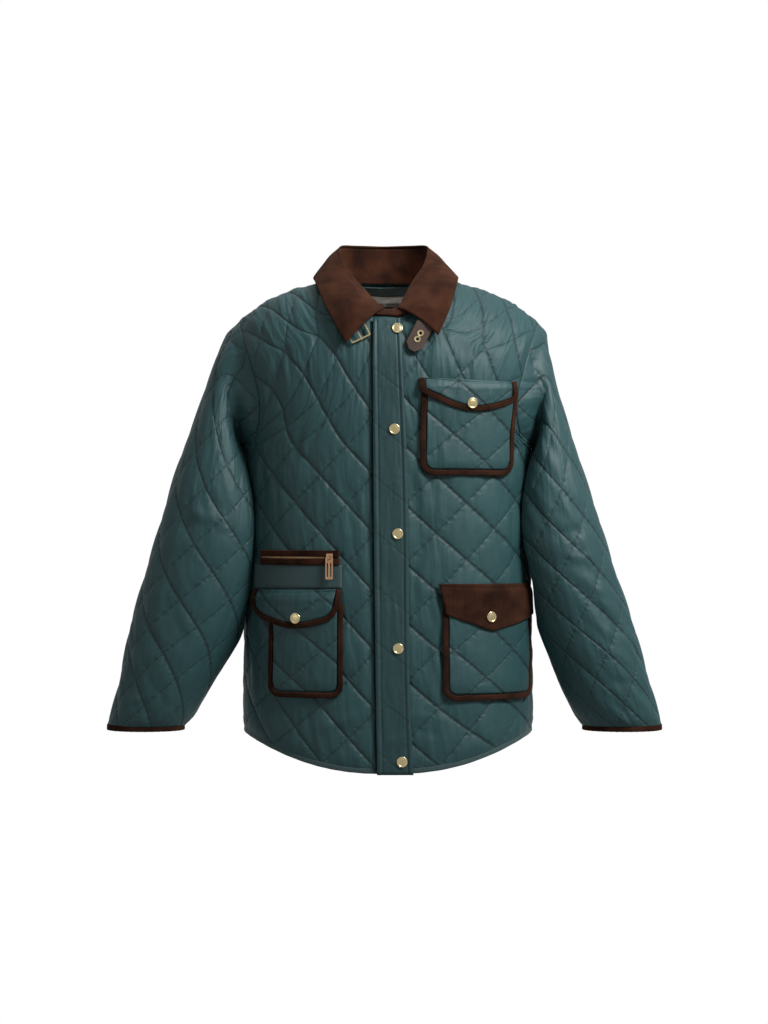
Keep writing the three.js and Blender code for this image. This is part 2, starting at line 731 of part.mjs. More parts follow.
// The loop of spots round an armhole: shoulder, front, underarm, back and up again.
function armholeLoop(frontHalf, backHalf) {
  const upperRows = panelRows - armpitRow;
  const edge = (half, row) => {
    const spot = half[panelColumns][row];
    const beside = half[panelColumns - 1][row].point;
    return { ...spot, away: spot.point.clone().sub(beside) };
  };
  const blend = (a, b) => ({
    point: a.point.clone().lerp(b.point, 0.5),
    normal: a.normal.clone().lerp(b.normal, 0.5).normalize(),
    away: a.away.clone().lerp(b.away, 0.5),
  });
  const loop = [];
  for (let k = 0; k < 2 * upperRows; k += 1) {
    if (k === 0) {
      loop.push(blend(edge(frontHalf, panelRows), edge(backHalf, panelRows)));
    } else if (k < upperRows) {
      loop.push(edge(frontHalf, panelRows - k));
    } else if (k === upperRows) {
      loop.push(blend(edge(frontHalf, armpitRow), edge(backHalf, armpitRow)));
    } else {
      loop.push(edge(backHalf, armpitRow + k - upperRows));
    }
  }
  loop.forEach((spot, k) => {
    const before = loop[(k + loop.length - 1) % loop.length].point;
    const after = loop[(k + 1) % loop.length].point;
    const along = after.clone().sub(before).normalize();
    spot.across = along.cross(spot.normal).normalize();
  });
  const way = Math.sign(loop[0].across.dot(loop[0].away));
  loop.forEach((spot) => {
    spot.away = spot.across.multiplyScalar(way);
  });
  return loop;
}

// Keeps a sleeve point clear of the body that it hangs beside.
function clearOfBody(hand, point) {
  const side = point.y < ringMiddleY ? front : back;
  const besideFlap = hand === wearersLeft
    ? 1 - easeBetween(Math.abs(point.z - leftHipFlapMiddleZ), 45, 90) : 0;
  const clearance = sleeveClearance + flapClearance * besideFlap;
  const halfWidth = halfWidthAt(point.z) + clearance;
  const depth = depthAt(side, point.z) + clearance;
  const reach = ((Math.abs(point.x) / halfWidth) ** squareness
    + (Math.abs(point.y - ringMiddleY) / depth) ** squareness) ** (1 / squareness);
  if (reach >= 1 || point.z > armpitZ + 14) return point;
  return new THREE.Vector3(
    point.x / reach,
    ringMiddleY + (point.y - ringMiddleY) / reach,
    point.z,
  );
}

function sleeveSpots(hand, sections, loop) {
  const around = loop.length;
  const low = (k) => 1 - easeBetween(Math.abs(k - around / 2), 4, 9);
  const lines = loop.map((spot, k) => {
    const start = spot.point.clone().addScaledVector(spot.away, 3.5 * seamGap);
    const next = spot.point.clone()
      .addScaledVector(spot.away, mix(10, 7, low(k)))
      .addScaledVector(spot.normal, mix(-1, 5, low(k)));
    const angle = (2 * Math.PI * k) / around;
    const stops = sections.map((section) => {
      const share = (1 + Math.cos(angle)) / 2;
      const x = mix(section.innerX, section.outerX - clothInset * share, share);
      const z = mix(section.innerZ, section.outerZ - clothInset * share, share);
      const depth = section.halfDepth - clothInset;
      const y = ringMiddleY - section.forward - depth * Math.sin(angle);
      return clearOfBody(hand, new THREE.Vector3(hand * x, y, z));
    });
    return new THREE.CatmullRomCurve3([start, next, ...stops]);
  });
  const frontLine = lines[around / 4];
  const shares = evenShares((t) => frontLine.getPoint(t), sleeveSteps);
  const firstClear = 2;
  const points = lines.map((line) => shares.map((t, j) => (
    j < firstClear ? line.getPoint(t) : clearOfBody(hand, line.getPoint(t)))));
  const cuffZ = sections[sections.length - 1].outerZ;
  points.forEach((line) => {
    line[sleeveSteps].z = cuffZ;
  });
  return points.map((line, k) => line.map((point, j) => {
    if (j === 0) return { point, normal: loop[k].normal };
    const before = points[(k + around - 1) % around][j];
    const after = points[(k + 1) % around][j];
    const along = points[k][Math.min(j + 1, sleeveSteps)].clone().sub(points[k][j - 1]);
    const normal = along.cross(after.clone().sub(before)).normalize().multiplyScalar(-hand);
    if (j === sleeveSteps) normal.setZ(0).normalize();
    return { point, normal };
  }));
}

const sleeves = {
  right: sleeveSpots(wearersRight, rightSleeveRows, armholeLoop(halves.frontRight, halves.backRight)),
  left: sleeveSpots(wearersLeft, leftSleeveRows, armholeLoop(halves.frontLeft, halves.backLeft)),
};

// Quilting lies flatter where the sleeve presses on the body.
function sleeveRise(spot, k, j, around) {
  if (j === 0 || j === sleeveSteps) return 0;
  const pressed = easeBetween(-Math.cos((2 * Math.PI * k) / around), 0.2, 0.7);
  const rise = quiltRise * diamondRise(k, j) * mix(1, 0.25, pressed) + foldRise(spot.point);
  return clamp(rise, 0, 1.5 * quiltRise);
}

function sleeveGeometry(spots) {
  const around = spots.length;
  const outer = spots.map((line, k) =>
    line.map((spot, j) => lifted(spot, clothThickness + sleeveRise(spot, k, j, around))));
  return wallSkin({
    columns: around,
    rows: sleeveSteps,
    outerAt: (k, j) => outer[k][j],
    innerAt: (k, j) => spots[k][j].point,
    ring: true,
    coarse: true,
  }).geometry();
}

// A bar through stations of four corners each, with ends, or closed on itself.
function barGeometry(stations, closed = false) {
  const skin = new Skin();
  const count = stations.length;
  const last = closed ? count : count - 1;
  for (let k = 0; k < last; k += 1) {
    const here = stations[k];
    const next = stations[(k + 1) % count];
    for (let side = 0; side < 4; side += 1) {
      const other = (side + 1) % 4;
      skin.quad(here[side], here[other], next[other], next[side]);
    }
  }
  if (!closed) {
    const [a, b, c, d] = stations[0];
    const [e, f, g, h] = stations[count - 1];
    skin.quad(d, c, b, a);
    skin.quad(e, f, g, h);
  }
  return skin.geometry();
}

function edgeBarStation(spot, height) {
  const top = new THREE.Vector3(0, 0, -2 * seamGap);
  const bottom = new THREE.Vector3(0, 0, -2 * seamGap - height);
  const inner = lifted(spot, -0.8);
  const outer = lifted(spot, clothThickness + 0.8);
  return [
    inner.clone().add(top),
    outer.clone().add(top),
    outer.clone().add(bottom),
    inner.clone().add(bottom),
  ];
}

const hemBar = (spots) => barGeometry(spots.map((spot) => edgeBarStation(spot, hemBindingHeight)));
const hemRow = (half) => half.map((column) => column[0]);

function cuffBar(spots) {
  const ring = spots.map((line) => edgeBarStation(line[sleeveSteps], cuffBindingHeight));
  return barGeometry(ring, true);
}

// The neck edge as one loop, from the placket over the wearer's left shoulder and back to the placket.
function neckStations() {
  const edge = (half, row) => {
    const spot = half[0][row];
    const away = spot.point.clone().sub(half[1][row].point);
    return { ...spot, away };
  };
  const blend = (a, b) => ({
    point: a.point.clone().lerp(b.point, 0.5),
    normal: a.normal.clone().add(b.normal).normalize(),
    away: a.away.clone().add(b.away),
  });
  const { frontLeft, backLeft, backRight, frontRight } = halves;
  const slitRow = neckRow + 2;
  const stations = [];
  for (let row = slitRow; row < panelRows; row += 1) stations.push(edge(frontLeft, row));
  stations.push(blend(edge(frontLeft, panelRows), edge(backLeft, panelRows)));
  for (let row = panelRows - 1; row > neckRow; row -= 1) stations.push(edge(backLeft, row));
  stations.push(blend(edge(backLeft, neckRow), edge(backRight, neckRow)));
  for (let row = neckRow + 1; row < panelRows; row += 1) stations.push(edge(backRight, row));
  stations.push(blend(edge(backRight, panelRows), edge(frontRight, panelRows)));
  for (let row = panelRows - 1; row > neckRow; row -= 1) stations.push(edge(frontRight, row));
  stations.push(blend(edge(frontRight, neckRow), edge(frontLeft, neckRow)));
  for (let row = neckRow + 1; row <= slitRow; row += 1) stations.push(edge(frontLeft, row));
  stations.forEach((station, k) => {
    const before = stations[Math.max(k - 1, 0)].point;
    const after = stations[Math.min(k + 1, stations.length - 1)].point;
    const along = after.clone().sub(before).normalize();
    const inward = new THREE.Vector3().crossVectors(along, station.normal).normalize();
    const middle = new THREE.Vector3(0, -20, 30);
    if (inward.dot(middle.sub(station.point)) < 0) inward.negate();
    station.away = inward;
    station.along = along;
  });
  return stations;
}

const foldCurve = new THREE.CatmullRomCurve3(foldStops.map((stop) =>
  new THREE.Vector3(stop.x, stop.y, stop.z)));
const collarShift = (share) => mix(collarShiftFront, collarShiftBack, easeBetween(share, 0, 0.4));

function foldAt(hand, share) {
  const point = foldCurve.getPoint(share);
  return new THREE.Vector3(hand * point.x + collarShift(share), point.y, point.z);
}

const neckOutward = (point) => new THREE.Vector3(point.x, point.y + 22, 0).normalize();

// How far along the fold a place on the neck edge belongs.
function foldShare(point) {
  const angle = Math.asin(clamp(Math.abs(point.x) / neckHalfWidth, 0, 1));
  const shoulderShare = 0.643;
  if (point.y > ringMiddleY) return mix(1, shoulderShare, angle / quarterTurn);
  return mix(0, shoulderShare, angle / quarterTurn);
}

function standTop(point) {
  const middle = 20;
  if (Math.abs(point.x) < middle && point.y < 0) {
    const share = foldShare(new THREE.Vector3(middle, point.y, 0));
    const right = foldAt(wearersRight, share);
    const left = foldAt(wearersLeft, share);
    const top = right.lerp(left, (point.x + middle) / (2 * middle));
    return top.setZ(top.z - 3 * (1 - Math.abs(point.x) / middle));
  }
  return foldAt(Math.sign(point.x) || 1, foldShare(point));
}

function standGeometry() {
  const stations = neckStations();
  const last = stations.length - 1;
  const rows = 3;
  const baseAt = (k) => stations[k].point.clone().addScaledVector(stations[k].away, 2 * seamGap);
  const inner = stations.map((station, k) => {
    const end = k === 0 ? seamGap : k === last ? -seamGap : 0;
    const slit = station.along.clone().multiplyScalar(end);
    // The panel's inner edge is straight between every second station, and the stand keeps clear of it.
    const base = k % 2 === 1 ? baseAt(k - 1).lerp(baseAt(k + 1), 0.5) : baseAt(k);
    const top = standTop(station.point).add(slit);
    const overEdge = baseAt(k).addScaledVector(station.away, standTurn)
      .addScaledVector(station.normal, standLift);
    return [base.add(slit), overEdge, overEdge.clone().lerp(top, 0.5), top];
  });
  const outer = inner.map((line, k) => line.map((point, j) => {
    const way = j === 0 ? stations[k].normal : neckOutward(point);
    return point.clone().addScaledVector(way, standThickness);
  }));
  return wallSkin({
    columns: last,
    rows,
    outerAt: (i, j) => outer[i][j],
    innerAt: (i, j) => inner[i][j],
  }).geometry();
}

function leafEdgeCurve(hand) {
  return new THREE.CatmullRomCurve3(leafEdgeStops.map((stop, k) => {
    const nudge = k === 0 ? leafTipShift * hand : 0;
    const x = Math.abs(stop.x + nudge);
    const z = stop.z + (k === 0 ? hand * leafTipShift : 0);
    const spot = spotAtHeight(stop.side, hand, roundFromX(stop.side, x, z), z);
    const point = lifted(spot, stop.rise);
    point.x += k === 0 ? 0 : collarShift(k / (leafEdgeStops.length - 1)) * 0.5;
    return point;
  }));
}

// The collar leaf rolls over at the fold and falls to its free edge.
function leafGeometry() {
  const half = 12;
  const rows = 4;
  const lines = [];
  for (let k = -half; k <= half; k += 1) {
    const hand = k < 0 ? wearersRight : wearersLeft;
    const share = 1 - Math.abs(k) / half;
    const fold = foldAt(hand, share);
    const edge = leafEdgeCurve(hand).getPoint(share);
    const outward = neckOutward(fold);
    const start = fold.clone().addScaledVector(outward, standThickness + 2 * seamGap);
    start.z += leafLift;
    const bulge = outward.clone().setZ(0.7).normalize().multiplyScalar(leafBulge);
    const control = start.clone().lerp(edge, 0.4).add(bulge);
    const curve = new THREE.QuadraticBezierCurve3(start, control, edge);
    lines.push({ fold, points: evenShares((t) => curve.getPoint(t), rows).map((t) => curve.getPoint(t)) });
  }
  const inner = lines.map((line) => line.points);
  const last = lines.length - 1;
  const outer = inner.map((line, i) => line.map((point, j) => {
    if (j === 0) return lines[i].fold.clone().add(new THREE.Vector3(0, 0, leafThickness + leafLift));
    const along = inner[Math.min(i + 1, last)][j].clone().sub(inner[Math.max(i - 1, 0)][j]);
    const down = line[Math.min(j + 1, rows)].clone().sub(line[j - 1]);
    const normal = down.cross(along).normalize();
    if (normal.dot(neckOutward(point).setZ(0.5)) < 0) normal.negate();
    return point.clone().addScaledVector(normal, leafThickness);
  }));
  return wallSkin({
    columns: last,
    rows,
    outerAt: (i, j) => outer[i][j],
    innerAt: (i, j) => inner[i][j],
  }).geometry();
}

// A strip inside the back neck, between two depths below the neck edge.
function neckStrip(from, to, halfWidth) {
  const columns = 10;
  const rise = -4.7;
  const strip = [];
  for (let k = 0; k <= columns; k += 1) {
    const x = mix(-halfWidth, halfWidth, k / columns);
    const neckZ = sideNeckZ - (sideNeckZ - backNeckZ) * Math.cos(Math.asin(x / neckHalfWidth));
    const round = roundFromX(back, Math.abs(x), neckZ);
    const girth = girthAt(back, round, neckZ);
    const hand = x < 0 ? wearersRight : wearersLeft;
    strip.push([from, mix(from, to, 0.5), to].map((depth) => bodySpot(back, hand, round, girth + depth)));
  }
  return wallSkin({
    columns,
    rows: 2,
    outerAt: (i, j) => lifted(strip[i][j], rise),
    innerAt: (i, j) => lifted(strip[i][j], rise - 1.2),
  }).geometry();
}

function placketGeometry() {
  const columns = 3;
  const bottom = hemMiddleZ - 1;
  const spots = [];
  for (let i = 0; i <= columns; i += 1) {
    const line = [];
    for (let j = 0; j <= placketSteps; j += 1) {
      const z = mix(bottom, placketTopZ, j / placketSteps);
      const x = mix(placketSeamAt(z), placketEdgeAt(z), i / columns);
      line.push(spotAtHeight(front, wearersLeft, roundFromX(front, x, z), z));
    }
    spots.push(line);
  }
  return wallSkin({
    columns,
    rows: placketSteps,
    outerAt: (i, j) => lifted(spots[i][j], panelTop + trimThickness),
    innerAt: (i, j) => lifted(spots[i][j], panelTop),
  }).geometry();
}

// The outline of a patch pocket: down its left side, along the bottom and up its right side.
function pocketPath({ left, right, top, bottom, corner }) {
  const path = [];
  const sideSteps = 4;
  const bottomSteps = 7;
  const turns = [0, 30, 60, 90].map(THREE.MathUtils.degToRad);
  for (let k = 0; k < sideSteps; k += 1) {
    path.push({ x: left, z: mix(top, bottom + corner, k / sideSteps) });
  }
  turns.forEach((turn) => path.push({
    x: left + corner * (1 - Math.cos(turn)),
    z: bottom + corner * (1 - Math.sin(turn)),
  }));
  for (let k = 1; k < bottomSteps; k += 1) {
    path.push({ x: mix(left + corner, right - corner, k / bottomSteps), z: bottom });
  }
  [...turns].reverse().forEach((turn) => path.push({
    x: right - corner * (1 - Math.cos(turn)),
    z: bottom + corner * (1 - Math.sin(turn)),
  }));
  for (let k = sideSteps - 1; k >= 0; k -= 1) {
    path.push({ x: right, z: mix(top, bottom + corner, k / sideSteps) });
  }
  return path;
}

// Moves an open outline inwards, to the left of the way it runs, by a constant width.
function insetPath(path, width) {
  return path.map((stop, k) => {
    const before = path[Math.max(k - 1, 0)];
    const after = path[Math.min(k + 1, path.length - 1)];
    const arriving = new THREE.Vector2(stop.x - before.x, stop.z - before.z);
    const leaving = new THREE.Vector2(after.x - stop.x, after.z - stop.z);
    if (k === 0) arriving.copy(leaving);
    if (k === path.length - 1) leaving.copy(arriving);
    arriving.normalize();
    leaving.normalize();
    const mean = arriving.clone().add(leaving).normalize();
    const miter = width / Math.max(mean.dot(arriving), 0.5);
    return { x: stop.x - mean.y * miter, z: stop.z + mean.x * miter };
  });
}

// A binding along the outline, as wide as `bindingWidth`, with its back at `riseAt` off the body.
function bindingGeometry(path, riseAt, thickness) {
  const inside = insetPath(path, bindingWidth);
  return barGeometry(path.map((stop, k) => {
    const rise = riseAt(stop.z);
    return [
      onFront(stop.x, stop.z, rise),
      onFront(stop.x, stop.z, rise + thickness),
      onFront(inside[k].x, inside[k].z, rise + thickness),
      onFront(inside[k].x, inside[k].z, rise),
    ];
  }));
}

// The cloth inside an outline: each column runs from a point of the outline up to the top edge.
// The stops from `first` to `last` are the lower edge.
function patchGeometry({ path, first, last, rows, riseAt, thickness, bulgeAt = () => 0 }) {
  const columns = last - first;
  const topLeft = path[0];
  const topRight = path[path.length - 1];
  const leanLeft = topLeft.x - path[first].x;
  const leanRight = topRight.x - path[last].x;
  const place = (i, j) => {
    const low = path[first + i];
    const share = (low.x - path[first].x) / (path[last].x - path[first].x);
    const topX = low.x + mix(leanLeft, leanRight, share);
    return {
      x: mix(low.x, topX, j / rows),
      z: mix(low.z, mix(topLeft.z, topRight.z, share), j / rows),
    };
  };
  const grid = (outer) => {
    const lines = [];
    for (let i = 0; i <= columns; i += 1) {
      const line = [];
      for (let j = 0; j <= rows; j += 1) {
        const { x, z } = place(i, j);
        const inside = i > 0 && i < columns && j > 0 && j < rows;
        const bulge = inside ? bulgeAt(x, z) : 0;
        line.push(onFront(x, z, riseAt(z) + (outer ? thickness + bulge : 0)));
      }
      lines.push(line);
    }
    return lines;
  };
  const outer = grid(true);
  const inner = grid(false);
  return wallSkin({
    columns,
    rows,
    outerAt: (i, j) => outer[i][j],
    innerAt: (i, j) => inner[i][j],
  }).geometry();
}

const diamondWidth = 88;
const diamondHeight = 74;

function laidDiamond(x, z) {
  const falling = Math.abs(Math.sin(Math.PI * (x / diamondWidth + z / diamondHeight)));
  const climbing = Math.abs(Math.sin(Math.PI * (x / diamondWidth - z / diamondHeight)));
  return pocketRise * (falling * climbing) ** 0.7;
}

function pocketPieces(size) {
  const path = pocketPath(size);
  const riseAt = () => panelTop;
  const sideSteps = 4;
  return {
    body: patchGeometry({
      path: insetPath(path, bindingWidth + seamGap),
      first: sideSteps,
      last: path.length - 1 - sideSteps,
      rows: 5,
      riseAt,
      thickness: pocketThickness,
      bulgeAt: laidDiamond,
    }),
    binding: bindingGeometry(path, riseAt, bindingThickness),
  };
}

// A flap is sewn flat along its top and stands over the pocket below it.
function flapPieces(edge, bound) {
  const top = Math.max(edge[0].z, edge[edge.length - 1].z);
  const riseAt = (z) => mix(panelTop, flapRise, easeBetween(top - z, 0, 13));
  const side = edge.flatMap((stop, k) => {
    const next = edge[k + 1];
    const long = next && Math.hypot(next.x - stop.x, next.z - stop.z) > 17;
    if (!long) return [stop];
    return [0, 1, 2].map((part) => ({
      x: mix(stop.x, next.x, part / 3),
      z: mix(stop.z, next.z, part / 3),
    }));
  });
  const path = bound ? insetPath(side, bindingWidth + seamGap) : side;
  const lowLeft = side.findIndex((stop, k) => k > 0 && side[k + 1].x - stop.x > 6);
  const lowRight = side.length - 1 - [...side].reverse()
    .findIndex((stop, k, back) => k > 0 && stop.x - back[k + 1].x > 6);
  return {
    body: patchGeometry({
      path,
      first: lowLeft,
      last: lowRight,
      rows: 4,
      riseAt,
      thickness: flapThickness,
    }),
    binding: bound ? bindingGeometry(side, riseAt, flapBindingThickness) : null,
  };
}

// A flat band of cloth on the front, between two heights.
function bandGeometry({ left, right, top, bottom }, rise, thickness) {
  const columns = Math.ceil((right - left) / 15);
  const spots = [];
  for (let i = 0; i <= columns; i += 1) {
    const round = mix(left, right, i / columns);
    spots.push([bottom, top].map((z) => spotAtHeight(front, wearersLeft, round, z)));
  }
  return wallSkin({
    columns,
    rows: 1,
    outerAt: (i, j) => lifted(spots[i][j], rise + thickness),
    innerAt: (i, j) => lifted(spots[i][j], rise),
  }).geometry();
}

// Hard pieces are made flat, X across, Y up and Z out of the cloth, and then laid on the front.
function frameOnFront(round, z, rise, slant = 0) {
  const spot = spotAtHeight(front, wearersLeft, round, z);
  const out = spot.normal;
  const across = new THREE.Vector3(0, 0, 1).cross(out).normalize().negate();
  if (across.x < 0) across.negate();
  const up = out.clone().cross(across).normalize();
  const basis = new THREE.Matrix4().makeBasis(across, up, out);
  const place = new THREE.Matrix4().setPosition(lifted(spot, rise));
  return place.multiply(basis).multiply(new THREE.Matrix4().makeRotationZ(slant));
}

function laid(geometry, frame) {
  return geometry.clone().applyMatrix4(frame);
}

function snapGeometry() {
  const profile = [
    [0, 0],
    [snapRadius - 0.3, 0],
    [snapRadius, 0.9],
    [snapRadius - 1.3, 1.9],
    [snapRadius - 2.6, 1.4],
    [0, 1.7],
  ].map(([radius, height]) => new THREE.Vector2(radius, height));
  return new THREE.LatheGeometry(profile, 14).rotateX(quarterTurn);
}

function eyeletGeometry() {
  const barrel = 0.6;
  const profile = [
    [eyeletInner, -1.6],
    [eyeletInner + barrel, -1.6],
    [eyeletInner + barrel, 0.3],
    [eyeletOuter, 0.3],
    [eyeletOuter - 0.4, 1.1],
    [eyeletInner, 0.9],
    [eyeletInner, -1.6],
  ].map(([radius, height]) => new THREE.Vector2(radius, height));
  return new THREE.LatheGeometry(profile, 16).rotateX(quarterTurn);
}

function solidFrom(geometry) {
  const bare = geometry.clone();
  ["normal", "uv"].forEach((name) => bare.deleteAttribute(name));
  const joined = BufferGeometryUtils.mergeVertices(bare, 1e-4);
  return new wasm.Manifold(new wasm.Mesh({
    numProp: 3,
    vertProperties: new Float32Array(joined.attributes.position.array),
    triVerts: new Uint32Array(joined.index.array),
  }));
}

function geometryFrom(solid) {
  const mesh = solid.getMesh();
  const geometry = new THREE.BufferGeometry();
  geometry.setAttribute("position", new THREE.Float32BufferAttribute(mesh.vertProperties, 3));
  geometry.setIndex([...mesh.triVerts]);
  geometry.computeVertexNormals();
  return geometry;
}

function blockGeometry(x, y, z, width, height, depth) {
  return new THREE.BoxGeometry(width, height, depth).translate(x, y, z);
}

// The slider: a plate over the welts, a neck down to the tape, and an arch that holds the tab's top bar.
// Its origin is on the pin line, which lies `pinRise` above the plate's back.
const pinRise = sliderThickness + pinRadius + 0.4;

function sliderGeometry() {
  const plate = blockGeometry(0, 0, sliderThickness / 2 - pinRise, sliderWidth, sliderHeight, sliderThickness);
  const neckDepth = 3;
  const neck = blockGeometry(0, 0, -pinRise - neckDepth / 2 + 0.5, 6, 2.4, neckDepth);
  const legs = 1.9;
  const outline = new THREE.Shape();
  outline.moveTo(-legs, archOuter);
  outline.lineTo(0, archOuter);
  outline.absarc(0, 0, archOuter, quarterTurn, -quarterTurn, true);
  outline.lineTo(-legs, -archOuter);
  outline.lineTo(-legs, -archInner);
  outline.lineTo(0, -archInner);
  outline.absarc(0, 0, archInner, -quarterTurn, quarterTurn, false);
  outline.lineTo(-legs, archInner);
  outline.closePath();
  const arch = new THREE.ExtrudeGeometry(outline, { depth: archWidth, bevelEnabled: false, curveSegments: 8 });
  arch.translate(0, 0, -archWidth / 2).rotateY(-quarterTurn);
  return geometryFrom(solidFrom(plate).add(solidFrom(neck)).add(solidFrom(arch)));
}

function roundedPlate(width, bottom, top, thickness, corner) {
  const shape = new THREE.Shape();
  const half = width / 2;
  shape.moveTo(-half + corner, bottom);
  shape.lineTo(half - corner, bottom);
  shape.lineTo(half, bottom + corner);
  shape.lineTo(half, top - corner);
  shape.lineTo(half - corner, top);
  shape.lineTo(-half + corner, top);
  shape.lineTo(-half, top - corner);
  shape.lineTo(-half, bottom + corner);
  shape.closePath();
  const plate = new THREE.ExtrudeGeometry(shape, { depth: thickness, bevelEnabled: false });
  return solidFrom(plate.translate(0, 0, -thickness / 2));
}

// The pull tab: a flat frame with a light bar down its middle, hung on its top bar.
function pullTabGeometry() {
  const through = 2 * tabThickness;
  const archHoleHeight = 4.4;
  const archHoleWidth = 4.6;
  const slotHeight = 19;
  const slotWidth = 1.8;
  const slotMiddle = 2.3;
  const plate = roundedPlate(tabWidth, pinRadius - tabLength, pinRadius, tabThickness, 0.9);
  const archHoleY = -pinRadius - archHoleHeight / 2;
  const slotY = archHoleY - archHoleHeight / 2 - 2 - slotHeight / 2;
  const archHole = blockGeometry(0, archHoleY, 0, archHoleWidth, archHoleHeight, through);
  const slots = [-1, 1].map((side) =>
    solidFrom(blockGeometry(side * slotMiddle, slotY, 0, slotWidth, slotHeight, through)));
  return geometryFrom(plate.subtract(solidFrom(archHole)).subtract(slots[0]).subtract(slots[1]));
}

// The buckle frame lies with its inner bar on the origin line and its outer bar below.
function buckleFrameGeometry() {
  const wire = buckleWire;
  const plate = roundedPlate(buckleWidth, -buckleLength - wire / 2, wire / 2, wire, 1.6);
  const innerWidth = buckleWidth - 2 * wire;
  const window = blockGeometry(0, -buckleLength / 2, 0, innerWidth, buckleLength - wire, 2 * wire);
  return geometryFrom(plate.subtract(solidFrom(window)));
}

// The prong: a ring round the inner bar and a flat tongue that rests on the outer bar.
function prongGeometry() {
  const ring = new THREE.Shape();
  ring.absarc(0, 0, prongRing, 0, 4 * quarterTurn, false);
  const bore = new THREE.Path();
  bore.absarc(0, 0, loopInner + 0.15, 0, 4 * quarterTurn, true);
  ring.holes.push(bore);
  const eye = new THREE.ExtrudeGeometry(ring, { depth: prongWidth, bevelEnabled: false, curveSegments: 8 });
  eye.translate(0, 0, -prongWidth / 2).rotateY(-quarterTurn);
  const thick = 0.9;
  const low = buckleWire / 2 + 0.3;
  const from = -1.2;
  const reach = buckleLength + 2.2;
  const tongue = blockGeometry(0, from - (reach + from) / 2, low + thick / 2, 1.8, reach + from, thick);
  return geometryFrom(solidFrom(eye).add(solidFrom(tongue)));
}

// The strap end is folded round the buckle's inner bar, in two legs with the prong's ring between them.
function strapLoopGeometry() {
  const legWidth = (strapWidth - prongWidth - 2) / 2;
  const outline = new THREE.Shape();
  outline.moveTo(loopOuter, 0);
  outline.absarc(0, 0, loopOuter, 0, -2 * quarterTurn, true);
  outline.lineTo(-loopOuter, strapHidden);
  outline.lineTo(-loopInner, strapHidden);
  outline.lineTo(-loopInner, 0);
  outline.absarc(0, 0, loopInner, -2 * quarterTurn, 0, false);
  outline.lineTo(loopInner, strapHidden);
  outline.lineTo(loopOuter, strapHidden);
  outline.closePath();
  const legs = [-1, 1].map((side) => {
    const leg = new THREE.ExtrudeGeometry(outline, { depth: legWidth, bevelEnabled: false, curveSegments: 6 });
    const middle = side * (prongWidth / 2 + 1 + legWidth / 2);
    return leg.translate(0, 0, -legWidth / 2).rotateY(-quarterTurn).translate(middle, 0, 0);
  });
  const bridgeHeight = 2;
  const bridgeY = strapHidden - bridgeHeight / 2;
  const bridge = blockGeometry(0, bridgeY, 0, strapWidth, bridgeHeight, 2 * loopOuter);
  return geometryFrom(solidFrom(legs[0]).add(solidFrom(legs[1])).add(solidFrom(bridge)));
}

// The tab end of the strap, its clipped point at the origin, with a hole for each eyelet.
function strapTabGeometry() {
  const half = strapWidth / 2;
  const clip = 8;
  const shape = new THREE.Shape();
  shape.moveTo(-half + clip, 0);
  shape.lineTo(half - clip, 0);
  shape.lineTo(half, clip);
  shape.lineTo(half, tabStrapLength);
  shape.lineTo(-half, tabStrapLength);
  shape.lineTo(-half, clip);
  shape.closePath();
  [0, 1].forEach((k) => {
    const hole = new THREE.Path();
    hole.absarc(0, firstEyelet + k * eyeletSpacing, eyeletInner + 0.9, 0, 4 * quarterTurn, true);
    shape.holes.push(hole);
  });
  return new THREE.ExtrudeGeometry(shape, {
    depth: tabStrapThickness,
    bevelEnabled: false,
    curveSegments: 6,
  });
}

const finish = (color, roughness, metalness) =>
  new THREE.MeshStandardMaterial({ color, roughness, metalness });
const quiltedCloth = finish(0x2c4a4c, 0.5, 0);
const brownCord = finish(0x4a2a1e, 0.9, 0);
const brownLeather = finish(0x2e1a14, 0.6, 0);
const beigeLining = finish(0xb8ac9c, 0.8, 0);
const paleGold = finish(0xc8b98a, 0.3, 1);
const copper = finish(0xb57a50, 0.35, 1);

const jacket = new THREE.Group();

function sewOn(name, geometry, material) {
  const mesh = new THREE.Mesh(geometry, material);
  mesh.name = name;
  jacket.add(mesh);
}

sewOn("front_right", halfPanelSkin(halves.frontRight, false).geometry(), quiltedCloth);
sewOn("front_left", halfPanelSkin(halves.frontLeft, false).geometry(), quiltedCloth);
sewOn("back", backPanelGeometry(), quiltedCloth);
sewOn("sleeve_right", sleeveGeometry(sleeves.right), quiltedCloth);
sewOn("sleeve_left", sleeveGeometry(sleeves.left), quiltedCloth);
sewOn("cuff_binding_right", cuffBar(sleeves.right), brownCord);
sewOn("cuff_binding_left", cuffBar(sleeves.left), brownCord);
sewOn("hem_binding_right", hemBar(hemRow(halves.frontRight)), quiltedCloth);
sewOn("hem_binding_left", hemBar(hemRow(halves.frontLeft)), quiltedCloth);
const backHem = [...hemRow(halves.backRight)].reverse().concat(hemRow(halves.backLeft).slice(1));
sewOn("hem_binding_back", hemBar(backHem), quiltedCloth);
sewOn("placket", placketGeometry(), quiltedCloth);

sewOn("collar_stand", standGeometry(), brownCord);
sewOn("collar_leaf", leafGeometry(), brownCord);
sewOn("neck_facing", neckStrip(1.5, facingDepth, 56), quiltedCloth);
sewOn("neck_lining", neckStrip(facingDepth + seamGap, facingDepth + liningDepth, 56), beigeLining);

